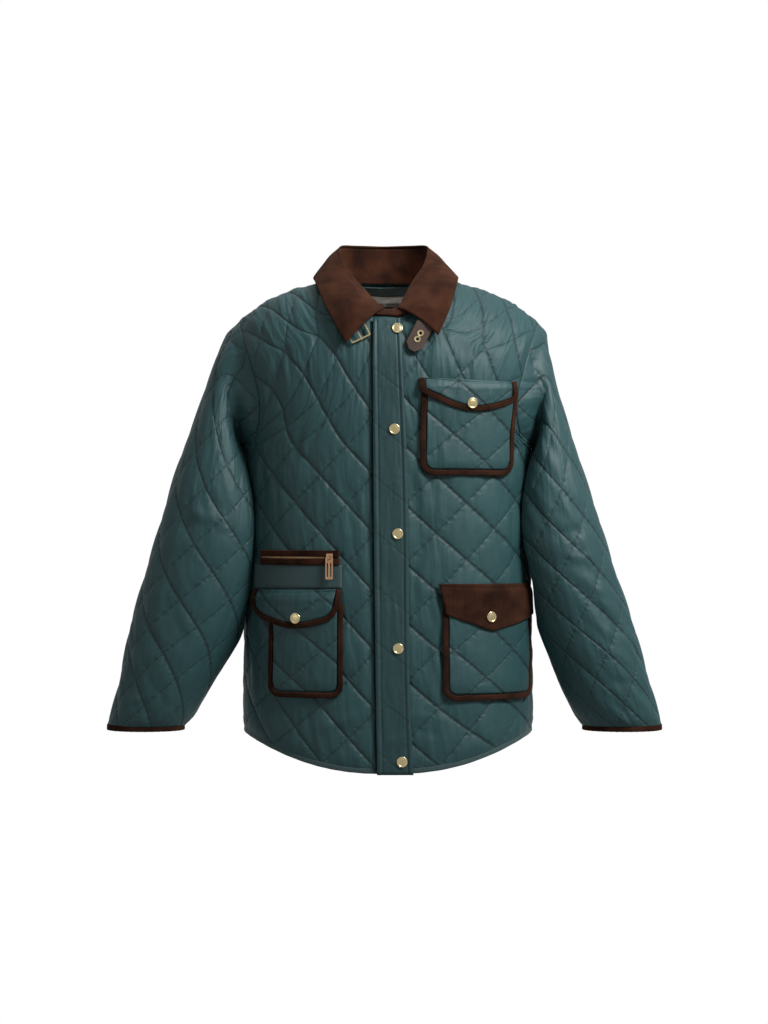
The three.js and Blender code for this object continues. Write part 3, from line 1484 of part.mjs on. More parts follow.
const chest = pocketPieces(chestPocket);
const leftHip = pocketPieces(leftHipPocket);
const rightHip = pocketPieces(rightHipPocket);
const chestFlap = flapPieces(chestFlapEdge, true);
const leftHipFlap = flapPieces(leftHipFlapEdge, false);
const rightHipFlap = flapPieces(rightHipFlapEdge, true);
sewOn("chest_pocket", chest.body, quiltedCloth);
sewOn("chest_pocket_binding", chest.binding, brownCord);
sewOn("chest_flap", chestFlap.body, quiltedCloth);
sewOn("chest_flap_binding", chestFlap.binding, brownCord);
sewOn("left_hip_pocket", leftHip.body, quiltedCloth);
sewOn("left_hip_pocket_binding", leftHip.binding, brownCord);
sewOn("left_hip_flap", leftHipFlap.body, brownCord);
sewOn("right_hip_pocket", rightHip.body, quiltedCloth);
sewOn("right_hip_pocket_binding", rightHip.binding, brownCord);
sewOn("right_hip_flap", rightHipFlap.body, quiltedCloth);
sewOn("right_hip_flap_binding", rightHipFlap.binding, brownCord);

const tapeHalf = zip.tapeWidth / 2;
const slotHalf = zip.slot / 2;
const zipSpan = (bottom, top) => ({
  left: zip.left,
  right: zip.right,
  top: zip.middleZ + top,
  bottom: zip.middleZ + bottom,
});
const tapeThickness = 0.6;
const weltRise = panelTop + tapeThickness + layGap;
sewOn("zip_panel", bandGeometry(zipPanel, panelTop, pocketThickness), quiltedCloth);
sewOn("zip_tape", bandGeometry(zipSpan(-tapeHalf, tapeHalf), panelTop, tapeThickness), brownLeather);
const upperWelt = zipSpan(slotHalf, slotHalf + zip.weltHeight);
const lowerWelt = zipSpan(-slotHalf - zip.weltHeight, -slotHalf);
sewOn("zip_welt_upper", bandGeometry(upperWelt, weltRise, trimThickness), brownCord);
sewOn("zip_welt_lower", bandGeometry(lowerWelt, weltRise, trimThickness), brownCord);
const pinLine = frameOnFront(sliderRound, zip.middleZ, weltRise + trimThickness + seamGap + pinRise);
sewOn("zip_slider", laid(sliderGeometry(), pinLine), copper);
sewOn("zip_pull_tab", laid(pullTabGeometry(), pinLine), copper);

placketSnaps.forEach((snap, k) => {
  const frame = frameOnFront(snap.round, snap.z, panelTop + trimThickness + seamGap);
  sewOn(`placket_snap_${k + 1}`, laid(snapGeometry(), frame), paleGold);
});
const flapSnap = (snap, under) => frameOnFront(snap.round, snap.z, flapRise + under + seamGap);
sewOn("chest_snap", laid(snapGeometry(), flapSnap(chestSnap, flapBindingThickness)), paleGold);
sewOn("left_hip_snap", laid(snapGeometry(), flapSnap(leftHipSnap, flapThickness)), paleGold);
sewOn("right_hip_snap", laid(snapGeometry(), flapSnap(rightHipSnap, flapBindingThickness)), paleGold);

const outerBar = frameOnFront(buckleRound, buckleZ, buckleRise, strapSlant);
const innerBar = outerBar.clone().multiply(new THREE.Matrix4().makeTranslation(0, buckleLength, 0));
sewOn("buckle_frame", laid(buckleFrameGeometry(), innerBar), paleGold);
sewOn("buckle_prong", laid(prongGeometry(), innerBar), paleGold);
sewOn("strap_buckle_end", laid(strapLoopGeometry(), innerBar), brownLeather);
const tabFrame = frameOnFront(tabEnd.round, tabEnd.z, tabStrapRise, -strapSlant);
sewOn("strap_tab_end", laid(strapTabGeometry(), tabFrame), brownLeather);
[0, 1].forEach((k) => {
  const place = new THREE.Matrix4()
    .makeTranslation(0, firstEyelet + k * eyeletSpacing, tabStrapThickness);
  sewOn(`strap_eyelet_${k + 1}`, laid(eyeletGeometry(), tabFrame.clone().multiply(place)), paleGold);
});

export default jacket;
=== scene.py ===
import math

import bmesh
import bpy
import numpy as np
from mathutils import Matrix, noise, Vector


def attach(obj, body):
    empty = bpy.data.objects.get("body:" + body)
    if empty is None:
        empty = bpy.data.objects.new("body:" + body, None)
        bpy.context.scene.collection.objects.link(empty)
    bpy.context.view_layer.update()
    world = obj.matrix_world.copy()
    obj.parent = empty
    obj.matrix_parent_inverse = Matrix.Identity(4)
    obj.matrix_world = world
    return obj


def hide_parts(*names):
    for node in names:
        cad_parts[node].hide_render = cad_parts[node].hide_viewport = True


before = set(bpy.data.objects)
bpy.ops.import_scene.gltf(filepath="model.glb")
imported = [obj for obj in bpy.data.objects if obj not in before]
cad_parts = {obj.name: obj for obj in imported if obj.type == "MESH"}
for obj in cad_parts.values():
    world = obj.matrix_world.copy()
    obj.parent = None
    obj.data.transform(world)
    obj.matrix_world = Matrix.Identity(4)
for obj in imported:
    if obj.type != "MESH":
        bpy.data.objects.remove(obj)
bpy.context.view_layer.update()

# %% [markdown]
# The jacket is a filled-out shell: two fronts, a back and two sleeves, quilted in diamonds, with a
# corduroy collar, patch pockets, bindings, press studs, a zip and an unfastened throat strap.
# Every cloth piece is laid out on the same body form that the solids were made on, in distance
# round the body and height, so that the seams meet and the pieces lie on each other.
# Sizes are in millimetres until a mesh is made.

MM = 0.001

# %% Sizes of the body form
FRONT, BACK = -1, 1
RIGHT, LEFT = -1, 1
QUARTER = math.pi / 2
CLOTH_THICKNESS = 3.0
SEAM_GAP = 0.4
CLOTH_INSET = 5.0
PANEL_TOP = 6.7
QUILT_RISE = 3.3
BODY_ROWS = {
    "z": [-720, -560, -400, -240, -160, -80, 20],
    "half_width": [206, 205, 203, 203, 212, 232, 240],
    "front": [150, 149, 146, 142, 140, 138, 136],
    "back": [142, 142, 141, 140, 140, 138, 136],
}
SHOULDER_ROWS = {
    "x": [0, 70, 98, 130, 165, 192, 217, 245],
    "z": [12, 10, -1, -10, -24, -41, -62, -95],
}
SQUARENESS = 2.4
RING_MIDDLE_Y = 5.0
ROLL_HEIGHT = {FRONT: 140.0, BACK: 110.0}
ROLL_RADIUS = {FRONT: 138.0, BACK: 123.0}
GIRTH_RING_Z = -400.0
PANEL_COLUMNS, PANEL_ROWS, ARMPIT_ROW, NECK_ROW = 14, 36, 22, 30
ARMPIT_Z = -238.0
SLEEVE_STEPS = 28
NECK_HALF_WIDTH = 70.0
NECK_MIDDLE_Z = {FRONT: -64.0, BACK: -2.0}
SIDE_NECK_Z = 5.0
SHOULDER_TIP_X = 212.0
HEM_SIDE_Z, HEM_MIDDLE_Z, HEM_CURVE = -637.0, -685.0, 2.4
HEM_BINDING, CUFF_BINDING = 5.0, 6.0
ARMHOLE_ROWS = {
    FRONT: [(60, -85), (57.5, -130), (57, -180), (62, -215), (74, -233)],
    BACK: [(61, -85), (60, -130), (60, -180), (65, -215), (76, -233)],
}

# %% Sizes of the sleeves
# Columns: outer x, outer z, inner x, inner z, half depth, forward
SLEEVE_ROWS = {
    RIGHT: [
        (234, -82, 208, -232, 66, -3), (250, -124, 212, -240, 68, 4), (271, -187, 196, -264, 68, 18),
        (296, -258, 182, -300, 67, 32), (319, -337, 174, -352, 65, 42), (343, -418, 184, -424, 63, 46),
        (363, -490, 206, -492, 60, 46), (377, -561, 246, -562, 54, 46), (389, -606, 272, -607, 47, 45),
        (396, -627, 289, -629, 42, 44),
    ],
    LEFT: [
        (226, -84, 208, -232, 66, -3), (234, -128, 212, -240, 68, 4), (251, -189, 196, -264, 68, 18),
        (272, -258, 182, -300, 67, 32), (296, -334, 176, -350, 65, 42), (318, -405, 188, -416, 63, 46),
        (343, -478, 206, -482, 60, 46), (364, -552, 238, -554, 54, 46), (379, -604, 262, -606, 47, 45),
        (386, -627, 276, -627, 42, 44),
    ],
}
SLEEVE_CLEARANCE, FLAP_CLEARANCE, LEFT_FLAP_Z = 11.0, 9.0, -455.0

# %% Sizes of the placket and the collar
PLACKET_ROWS = {
    "z": [-687, -560, -300, -114, -66],
    "seam": [-15, -17, -20, -21, -21],
    "edge": [34, 29, 26.5, 19, 16.5],
}
PLACKET_TOP_Z = -66.0
FOLD_STOPS = [
    (9, -105, -50), (16, -96, -43), (35, -70, -15), (54, -42, 12), (62, -10, 36), (61, 22, 48),
    (38, 50, 51), (0, 60, 51),
]
# Columns: side, x, z, rise off the cloth
LEAF_EDGE_STOPS = [
    (FRONT, 61, -97, 17.5), (FRONT, 78, -62, 15), (FRONT, 92, -24, 12), (FRONT, 98, -7, 10.5),
    (BACK, 93, -10, 10), (BACK, 72, -15, 10), (BACK, 38, -17, 10), (BACK, 0, -17, 10),
]
COLLAR_SHIFT_FRONT, COLLAR_SHIFT_BACK, LEAF_TIP_SHIFT = 4.0, -6.0, 5.0
STAND_THICKNESS, STAND_TURN, STAND_LIFT = 2.2, 4.0, 6.0
LEAF_THICKNESS, LEAF_LIFT, LEAF_BULGE = 2.5, 2.0, 15.0

# %% Sizes of the pockets and the trim
BINDING_WIDTH, BINDING_THICKNESS, FLAP_BINDING_THICKNESS = 7.5, 3.8, 2.8
POCKET_THICKNESS, FLAP_THICKNESS, FLAP_RISE = 2.0, 2.0, 11.4
DIAMOND_WIDTH, DIAMOND_HEIGHT, POCKET_RISE = 88.0, 74.0, 1.4
# Columns: left, right, top, bottom, corner
CHEST_POCKET = (43, 180, -164, -278, 19)
LEFT_HIP_POCKET = (73, 222, -446, -586, 18)
RIGHT_HIP_POCKET = (-167, -60, -452, -582, 17)
CHEST_FLAP_EDGE = [
    (39, -145), (40, -163), (52, -170), (65, -176), (77, -182), (89, -186), (100, -189), (112, -190),
    (124, -189), (136, -187), (148, -184), (160, -180), (171, -174), (175, -166), (172, -147),
]
LEFT_HIP_FLAP_EDGE = [
    (68, -426), (76, -468), (89, -473), (102, -478), (115, -482), (128, -487), (141, -491),
    (155, -488), (169, -485), (183, -482), (197, -478), (211, -475), (225, -470), (222, -427),
]
RIGHT_HIP_FLAP_EDGE = [
    (-198, -434), (-201, -447), (-194, -463), (-185, -471), (-173, -477), (-160, -481), (-147, -485),
    (-134, -487), (-121, -487), (-109, -486), (-97, -483), (-86, -480), (-76, -475), (-67, -463),
    (-63, -448), (-62, -434),
]
ZIP_LEFT, ZIP_RIGHT, ZIP_Z, ZIP_SLOT, WELT_HEIGHT, TAPE_WIDTH = -185.0, -65.0, -390.5, 3.4, 8.2, 15.0
ZIP_PANEL = (-197, -62, -400.6, -432.4)
WELT_RISE, WELT_THICKNESS = 8.0, 2.2
SLIDER_ROUND = -78.0

# %% Reading the tables and the body form
def mix(a, b, share):
    return a + (b - a) * share


def clamp(value, lowest, highest):
    return min(max(value, lowest), highest)


def ease(value, start, end):
    share = clamp((value - start) / (end - start), 0.0, 1.0)
    return share * share * (3 - 2 * share)


def signed_power(value, power):
    return math.copysign(abs(value) ** power, value)


def read_table(table, column, by, at):
    keys, values = table[by], table[column]
    last = len(keys) - 1
    k = 0
    while k < last - 1 and at > keys[k + 1]:
        k += 1

    def slope(j):
        before, after = max(j - 1, 0), min(j + 1, last)
        return (values[after] - values[before]) / (keys[after] - keys[before])

    span = keys[k + 1] - keys[k]
    t = clamp((at - keys[k]) / span, 0.0, 1.0)
    bend = t * t * (3 - 2 * t)
    return (mix(values[k], values[k + 1], bend) + span * slope(k) * t * (1 - t) ** 2
            - span * slope(k + 1) * t * t * (1 - t))


def half_width_at(z):
    return read_table(BODY_ROWS, "half_width", "z", clamp(z, -720, 20)) - CLOTH_INSET


def depth_at(side, z):
    column = "front" if side == FRONT else "back"
    return read_table(BODY_ROWS, column, "z", clamp(z, -720, 20)) - CLOTH_INSET


def shoulder_at(x):
    return read_table(SHOULDER_ROWS, "z", "x", clamp(abs(x), 0, 245)) - CLOTH_INSET


def measure_quarter(side):
    steps = 360
    turns = np.linspace(0, QUARTER, steps + 1)
    power = 2 / SQUARENESS
    x = half_width_at(GIRTH_RING_Z) * np.sin(turns) ** power
    y = depth_at(side, GIRTH_RING_Z) * np.maximum(np.cos(turns), 0) ** power
    return np.concatenate([[0.0], np.cumsum(np.hypot(np.diff(x), np.diff(y)))])


QUARTER_LENGTHS = {side: measure_quarter(side) for side in (FRONT, BACK)}
QUARTER_TURNS = np.linspace(0, QUARTER, 361)


def quarter_round(side):
    return float(QUARTER_LENGTHS[side][-1])


def turn_from_round(side, distance):
    turn = np.interp(abs(distance), QUARTER_LENGTHS[side], QUARTER_TURNS)
    return math.copysign(float(turn), distance)


def round_from_turn(side, turn):
    distance = np.interp(abs(turn), QUARTER_TURNS, QUARTER_LENGTHS[side])
    return math.copysign(float(distance), turn)


def round_from_x(side, x, z):
    share = clamp(abs(x) / half_width_at(z), 0, 1)
    return math.copysign(round_from_turn(side, math.asin(share ** (SQUARENESS / 2))), x)


def x_from_round(side, distance, z):
    turn = turn_from_round(side, distance)
    return half_width_at(z) * signed_power(math.sin(turn), 2 / SQUARENESS)


def girth_at(side, distance, z):
    drop = shoulder_at(x_from_round(side, distance, z)) - z
    if drop < ROLL_HEIGHT[side]:
        return ROLL_RADIUS[side] * math.acos(clamp(1 - drop / ROLL_HEIGHT[side], 0, 1))
    return ROLL_RADIUS[side] * QUARTER + drop - ROLL_HEIGHT[side]


def body_point(side, distance, girth):
    roll = min(girth / ROLL_RADIUS[side], QUARTER)
    straight = max(girth - ROLL_RADIUS[side] * QUARTER, 0)
    drop = ROLL_HEIGHT[side] * (1 - math.cos(roll)) + straight
    turn = turn_from_round(side, distance)
    z, x = -drop, 0.0
    for _ in range(8):
        x = half_width_at(z) * signed_power(math.sin(turn), 2 / SQUARENESS)
        z = shoulder_at(x) - drop
    depth = depth_at(side, z) * max(math.cos(turn), 0) ** (2 / SQUARENESS)
    return Vector((x, RING_MIDDLE_Y + side * depth * math.sin(roll), z))


def body_spot(side, hand, distance, girth):
    limit = quarter_round(side)
    far = min(distance + 1, limit)
    across = body_point(side, far, girth) - body_point(side, far - 2, girth)
    down = body_point(side, distance, max(girth, 1) + 1) - body_point(side, distance, max(girth, 1) - 1)
    normal = across.cross(down).normalized() * side
    point = body_point(side, distance, girth)
    point.x *= hand
    normal.x *= hand
    return point, normal


def spot_at_height(side, hand, distance, z):
    return body_spot(side, hand, distance, girth_at(side, distance, z))


def lifted(spot, rise):
    return spot[0] + spot[1] * rise


def on_front(distance, z, rise):
    return lifted(spot_at_height(FRONT, LEFT, distance, z), rise)


print("quarter lengths", quarter_round(FRONT), quarter_round(BACK))


# %% Curves and even steps
def curve_point(points, share):
    """A point on the smooth curve through the points, the same curve that the solids follow."""
    count = len(points) - 1
    place = count * share
    k = min(int(math.floor(place)), count - 1)
    t = place - k
    p1, p2 = points[k], points[k + 1]
    p0 = points[k - 1] if k > 0 else p1 * 2 - points[1]
    p3 = points[k + 2] if k + 2 <= count else p2 * 2 - points[count - 1]
    d0, d1, d2 = [max((b - a).length_squared ** 0.25, 0.0) for a, b in ((p0, p1), (p1, p2), (p2, p3))]
    d1 = d1 if d1 > 1e-4 else 1.0
    d0 = d0 if d0 > 1e-4 else d1
    d2 = d2 if d2 > 1e-4 else d1
    t1 = ((p1 - p0) / d0 - (p2 - p0) / (d0 + d1) + (p2 - p1) / d1) * d1
    t2 = ((p2 - p1) / d1 - (p3 - p1) / (d1 + d2) + (p3 - p2) / d2) * d1
    c2 = p2 * 3 - p1 * 3 - t1 * 2 - t2
    c3 = p1 * 2 - p2 * 2 + t1 + t2
    return p1 + t1 * t + c2 * (t * t) + c3 * (t * t * t)


def even_shares(point_at, count):
    fine = 200
    points = [point_at(k / fine) for k in range(fine + 1)]
    lengths = np.concatenate([[0.0], np.cumsum([(b - a).length for a, b in zip(points, points[1:])])])
    wanted = np.linspace(0, lengths[-1], count + 1)
    return list(np.interp(wanted, lengths, np.linspace(0, 1, fine + 1)))


# %% Panels: hem to shoulder, middle edge to side seam and armhole
def hem_at(side, distance):
    turned = max(math.cos(turn_from_round(side, distance)), 0)
    return mix(HEM_SIDE_Z, HEM_MIDDLE_Z, turned ** HEM_CURVE)


def placket_seam_at(z):
    return read_table(PLACKET_ROWS, "seam", "z", clamp(z, -687, PLACKET_TOP_Z))


def placket_edge_at(z):
    return read_table(PLACKET_ROWS, "edge", "z", clamp(z, -687, PLACKET_TOP_Z))


def middle_edge(side, hand, z):
    if side == BACK:
        return 0.0
    if hand == RIGHT:
        return round_from_x(FRONT, -placket_seam_at(z), z)
    return round_from_x(FRONT, placket_seam_at(z) + SEAM_GAP, z)


def neck_point(side, angle):
    x = NECK_HALF_WIDTH * math.sin(angle)
    z = SIDE_NECK_Z - (SIDE_NECK_Z - NECK_MIDDLE_Z[side]) * math.cos(angle)
    distance = round_from_x(side, x, z)
    return Vector((distance, max(girth_at(side, distance, z), SEAM_GAP / 2), 0))


def half_panel(side, hand):
    limit = quarter_round(side) - SEAM_GAP / 2

    def place(v):
        return body_point(side, v.x, v.y)

    def lower_plan(share, row):
        rise = row / ARMPIT_ROW
        inner = middle_edge(side, hand, mix(hem_at(side, 0) + HEM_BINDING, ARMPIT_Z, rise))
        distance = mix(inner, limit, share)
        z = mix(hem_at(side, distance) + HEM_BINDING + SEAM_GAP, ARMPIT_Z, rise)
        return Vector((distance, girth_at(side, distance, z), 0))

    tip_z = shoulder_at(SHOULDER_TIP_X)
    stops = [lower_plan(1, ARMPIT_ROW)]
    for turn, z in reversed(ARMHOLE_ROWS[side]):
        distance = round_from_turn(side, math.radians(turn))
        stops.append(Vector((distance, girth_at(side, distance, z), 0)))
    stops.append(Vector((round_from_x(side, SHOULDER_TIP_X, tip_z), SEAM_GAP / 2, 0)))
    upper_rows = PANEL_ROWS - ARMPIT_ROW
    armhole_shares = even_shares(lambda t: place(curve_point(stops, t)), upper_rows)
    corner_angle = 0.0
    if side == FRONT:
        seam_x = placket_seam_at(PLACKET_TOP_Z)
        corner_angle = math.asin((-seam_x if hand == RIGHT else seam_x + SEAM_GAP) / NECK_HALF_WIDTH)
    neck_shares = even_shares(lambda t: place(neck_point(side, mix(corner_angle, QUARTER, t))),
                              PANEL_ROWS - NECK_ROW)
    corner = neck_point(side, corner_angle)

    def inner_plan(row):
        if row >= NECK_ROW:
            return neck_point(side, mix(corner_angle, QUARTER, neck_shares[row - NECK_ROW]))
        return lower_plan(0, ARMPIT_ROW).lerp(corner, (row - ARMPIT_ROW) / (NECK_ROW - ARMPIT_ROW))

    def top_plan(share):
        x = mix(NECK_HALF_WIDTH, SHOULDER_TIP_X, share)
        return Vector((round_from_x(side, x, shoulder_at(x)), SEAM_GAP / 2, 0))

    panel = []
    for i in range(PANEL_COLUMNS + 1):
        u = i / PANEL_COLUMNS
        column = []
        for j in range(PANEL_ROWS + 1):
            plan = lower_plan(u, min(j, ARMPIT_ROW))
            if j > ARMPIT_ROW:
                v = (j - ARMPIT_ROW) / upper_rows
                plan = (plan * (1 - v) + top_plan(u) * v + inner_plan(j) * (1 - u)
                        + curve_point(stops, armhole_shares[j - ARMPIT_ROW]) * u
                        - lower_plan(0, ARMPIT_ROW) * ((1 - u) * (1 - v))
                        - lower_plan(1, ARMPIT_ROW) * (u * (1 - v))
                        - top_plan(0) * ((1 - u) * v) - top_plan(1) * (u * v))
            column.append(body_spot(side, hand, plan.x, max(plan.y, SEAM_GAP / 2)))
        panel.append(column)
    return panel


HALVES = {(side, hand): half_panel(side, hand) for side in (FRONT, BACK) for hand in (RIGHT, LEFT)}
print("half panels", len(HALVES))


# %% Sleeves: rings from the armhole edge to the cuff
def armhole_loop(hand):
    front_half, back_half = HALVES[FRONT, hand], HALVES[BACK, hand]
    upper_rows = PANEL_ROWS - ARMPIT_ROW

    def edge(half, row):
        point, normal = half[PANEL_COLUMNS][row]
        return [point.copy(), normal.copy(), point - half[PANEL_COLUMNS - 1][row][0]]

    def blend(a, b):
        return [a[0].lerp(b[0], 0.5), a[1].lerp(b[1], 0.5).normalized(), a[2].lerp(b[2], 0.5)]

    loop = []
    for k in range(2 * upper_rows):
        if k in (0, upper_rows):
            row = PANEL_ROWS if k == 0 else ARMPIT_ROW
            loop.append(blend(edge(front_half, row), edge(back_half, row)))
        elif k < upper_rows:
            loop.append(edge(front_half, PANEL_ROWS - k))
        else:
            loop.append(edge(back_half, ARMPIT_ROW + k - upper_rows))
    count = len(loop)
    across = []
    for k, spot in enumerate(loop):
        along = (loop[(k + 1) % count][0] - loop[k - 1][0]).normalized()
        across.append(along.cross(spot[1]).normalized())
    way = math.copysign(1, across[0].dot(loop[0][2]))
    for spot, direction in zip(loop, across):
        spot[2] = direction * way
    return loop


def clear_of_body(hand, point):
    side = FRONT if point.y < RING_MIDDLE_Y else BACK
    beside_flap = 1 - ease(abs(point.z - LEFT_FLAP_Z), 45, 90) if hand == LEFT else 0
    clearance = SLEEVE_CLEARANCE + FLAP_CLEARANCE * beside_flap
    reach = ((abs(point.x) / (half_width_at(point.z) + clearance)) ** SQUARENESS
             + (abs(point.y - RING_MIDDLE_Y) / (depth_at(side, point.z) + clearance)) ** SQUARENESS)
    reach **= 1 / SQUARENESS
    if reach >= 1 or point.z > ARMPIT_Z + 14:
        return point
    return Vector((point.x / reach, RING_MIDDLE_Y + (point.y - RING_MIDDLE_Y) / reach, point.z))


def sleeve_points(hand):
    loop = armhole_loop(hand)
    around = len(loop)
    lines = []
    for k, (point, normal, away) in enumerate(loop):
        low_share = 1 - ease(abs(k - around / 2), 4, 9)
        angle = 2 * math.pi * k / around
        share = (1 + math.cos(angle)) / 2
        line = [point + away * (1.2 * SEAM_GAP),
                point + away * mix(10, 7, low_share) + normal * mix(-1, 5, low_share)]
        for outer_x, outer_z, inner_x, inner_z, half_depth, forward in SLEEVE_ROWS[hand]:
            x = mix(inner_x, outer_x - CLOTH_INSET * share, share)
            z = mix(inner_z, outer_z - CLOTH_INSET * share, share)
            y = RING_MIDDLE_Y - forward - (half_depth - CLOTH_INSET) * math.sin(angle)
            line.append(clear_of_body(hand, Vector((hand * x, y, z))))
        lines.append(line)
    front_line = lines[around // 4]
    shares = even_shares(lambda t: curve_point(front_line, t), SLEEVE_STEPS)
    rings = []
    for line in lines:
        ring = [curve_point(line, t) for t in shares]
        ring = ring[:2] + [clear_of_body(hand, p) for p in ring[2:]]
        ring[-1].z = SLEEVE_ROWS[hand][-1][1]
        rings.append(ring)
    return np.array(rings)


SLEEVES = {hand: sleeve_points(hand) for hand in (RIGHT, LEFT)}
print("sleeve grids", SLEEVES[RIGHT].shape)


# %% [markdown]
# A cloth piece is one grid whose points are moved into place, with a Solidify modifier for its
# thickness. Its first UV map is the cut cloth in metres, for the weave, and its second counts the
# quilted diamonds, for the stitched lines.

# %% Making a piece from a grid
SHEETS = []


def resample(points, times_u, times_v, ring=False, left_ghost=None):
    """A finer grid on the smooth surface through the points."""
    def pad(grid, closed, ghost=None):
        if closed:
            return np.concatenate([grid[-1:], grid, grid[:2]])
        first = grid[0] * 2 - grid[1] if ghost is None else ghost
        return np.concatenate([first[None], grid, (grid[-1] * 2 - grid[-2])[None]])

    def along(padded, steps, times):
        place = np.arange(steps * times + 1) / times
        k = np.minimum(place.astype(int), steps - 1)
        t = (place - k).reshape((-1,) + (1,) * (padded.ndim - 1))
        p0, p1, p2, p3 = (padded[k + shift] for shift in range(4))
        return 0.5 * (2 * p1 + (p2 - p0) * t + (2 * p0 - 5 * p1 + 4 * p2 - p3) * t * t
                      + (3 * p1 - p0 - 3 * p2 + p3) * t * t * t)

    steps_u = len(points) if ring else len(points) - 1
    fine = along(pad(points, ring, left_ghost), steps_u, times_u)
    turned = np.swapaxes(fine, 0, 1)
    finer = along(pad(turned, False), len(turned) - 1, times_v)
    return np.swapaxes(finer, 0, 1)


def grid_normals(grid, ring=False):
    if ring:
        wide = np.concatenate([grid[-2:-1], grid, grid[1:2]])
        across = wide[2:] - wide[:-2]
    else:
        across = np.gradient(grid, axis=0)
    normal = np.cross(across, np.gradient(grid, axis=1))
    return normal / np.maximum(np.linalg.norm(normal, axis=2, keepdims=True), 1e-9)


def outward(grid, normals, reference):
    """Turns the normals so that they point the way the reference does at the grid's middle."""
    middle = tuple(n // 2 for n in grid.shape[:2])
    return normals if np.dot(normals[middle], reference) > 0 else -normals


def cloth_uv(grid):
    """Lengths along the middle lines of a grid, in metres."""
    middle_u, middle_v = grid.shape[0] // 2, grid.shape[1] // 2
    u = np.concatenate([[0], np.cumsum(np.linalg.norm(np.diff(grid[:, middle_v], axis=0), axis=1))])
    v = np.concatenate([[0], np.cumsum(np.linalg.norm(np.diff(grid[middle_u], axis=0), axis=1))])
    both = np.stack(np.meshgrid(u, v, indexing="ij"), axis=2)
    return both * MM


def grid_bmesh(grid, uv_maps, facing=None):
    """One bmesh grid with its points moved, `facing` being the way that its middle faces out."""
    count_u, count_v = grid.shape[:2]
    bm = bmesh.new()
    uv_layers = {name: bm.loops.layers.uv.new(name) for name in uv_maps}
    bmesh.ops.create_grid(bm, x_segments=count_u - 1, y_segments=count_v - 1, size=1)
    bm.verts.ensure_lookup_table()
    flat = grid.swapaxes(0, 1).reshape(-1, 3) * MM
    values = {name: uv.swapaxes(0, 1).reshape(-1, 2) for name, uv in uv_maps.items()}
    for face in bm.faces:
        face.smooth = True
        for loop in face.loops:
            for name, layer in uv_layers.items():
                loop[layer].uv = values[name][loop.vert.index]
    for vert, place in zip(bm.verts, flat):
        vert.co = place
    bm.normal_update()
    if facing is not None:
        bm.faces.ensure_lookup_table()
        middle = bm.faces[(count_v // 2) * (count_u - 1) + count_u // 2]
        if middle.normal.dot(Vector(facing)) < 0:
            bmesh.ops.reverse_faces(bm, faces=bm.faces)
    return bm


def finish_piece(name, bm, material, body="jacket", replaces=(), wall=None):
    mesh = bpy.data.meshes.new(name)
    bm.to_mesh(mesh)
    bm.free()
    piece = bpy.data.objects.new(name, mesh)
    bpy.context.scene.collection.objects.link(piece)
    mesh.materials.append(material)
    if wall:
        solid = piece.modifiers.new("wall", "SOLIDIFY")
        solid.thickness = wall * MM
        solid.offset = -1
        solid.use_even_offset = False
    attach(piece, body)
    if replaces:
        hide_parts(*replaces)
    return piece


BAR_SHOWN, LEAST_FLAT = 0.62, 0.0102


def declare_sheet(piece):
    """Says what flat size the piece was cut to, measured on its own mesh."""
    mesh = piece.data
    area = sum(face.area for face in mesh.polygons)
    uv = np.zeros(len(mesh.loops) * 2, np.float32)
    mesh.uv_layers["cloth"].data.foreach_get("uv", uv)
    size = uv.reshape(-1, 2).max(0) - uv.reshape(-1, 2).min(0)
    width, length = max(float(size[0]), LEAST_FLAT), max(float(size[1]), LEAST_FLAT)
    if not piece.modifiers:
        length = length * BAR_SHOWN
    area = min(area, width * length)
    length = min(length, area / (0.32 * width))
    SHEETS.append((piece.name, round(width, 3), round(length, 3), round(area, 4)))


# %% Relief of quilted cloth
def diamonds(across, along):
    """Puffed diamonds between two sets of stitched lines. The falling set is pulled tighter."""
    falling = np.abs(np.sin(np.pi * (across + along))) ** 0.36
    climbing = np.abs(np.sin(np.pi * (across - along))) ** 0.42
    return falling * (0.3 + 0.7 * climbing)


def rumples(cloth, width, length, height, lean=0.0):
    """Fine soft puckers of the thin face cloth: they run along v, leaning a little, and come and go."""
    flat = cloth.reshape(-1, 2) / MM
    total = np.empty(len(flat))
    for k, (u, v) in enumerate(flat):
        across = (u + lean * v) / width
        along = v / length
        value = noise.noise(Vector((across, along, 3.0)))
        value -= 0.9 * max(0.0, 0.3 - abs(noise.noise(Vector((across * 1.3, along, 9.0))))) ** 0.8
        here = 0.55 + 0.9 * noise.noise(Vector((u / 90.0, v / 90.0, 21.0)))
        total[k] = value * max(here, 0.12)
    return height * total.reshape(cloth.shape[:2])


def creases(points, rows):
    """Soft ridges and troughs. Columns: x, y, z of the middle, the way it runs, half length, half
    width, height."""
    total = np.zeros(points.shape[:2])
    for x, y, z, way_x, way_y, way_z, half_length, half_width, height in rows:
        way = np.array([way_x, way_y, way_z], float)
        way /= np.linalg.norm(way)
        apart = points - np.array([x, y, z], float)
        run = apart @ way
        bend = half_width * 0.7 * np.sin(run / half_length * 1.7)
        side_way = np.linalg.norm(apart - run[..., None] * way, axis=2)
        total += height * np.exp(-((side_way - np.abs(bend) * 0.3) / half_width) ** 2
                                 - (run / half_length) ** 2)
    return total


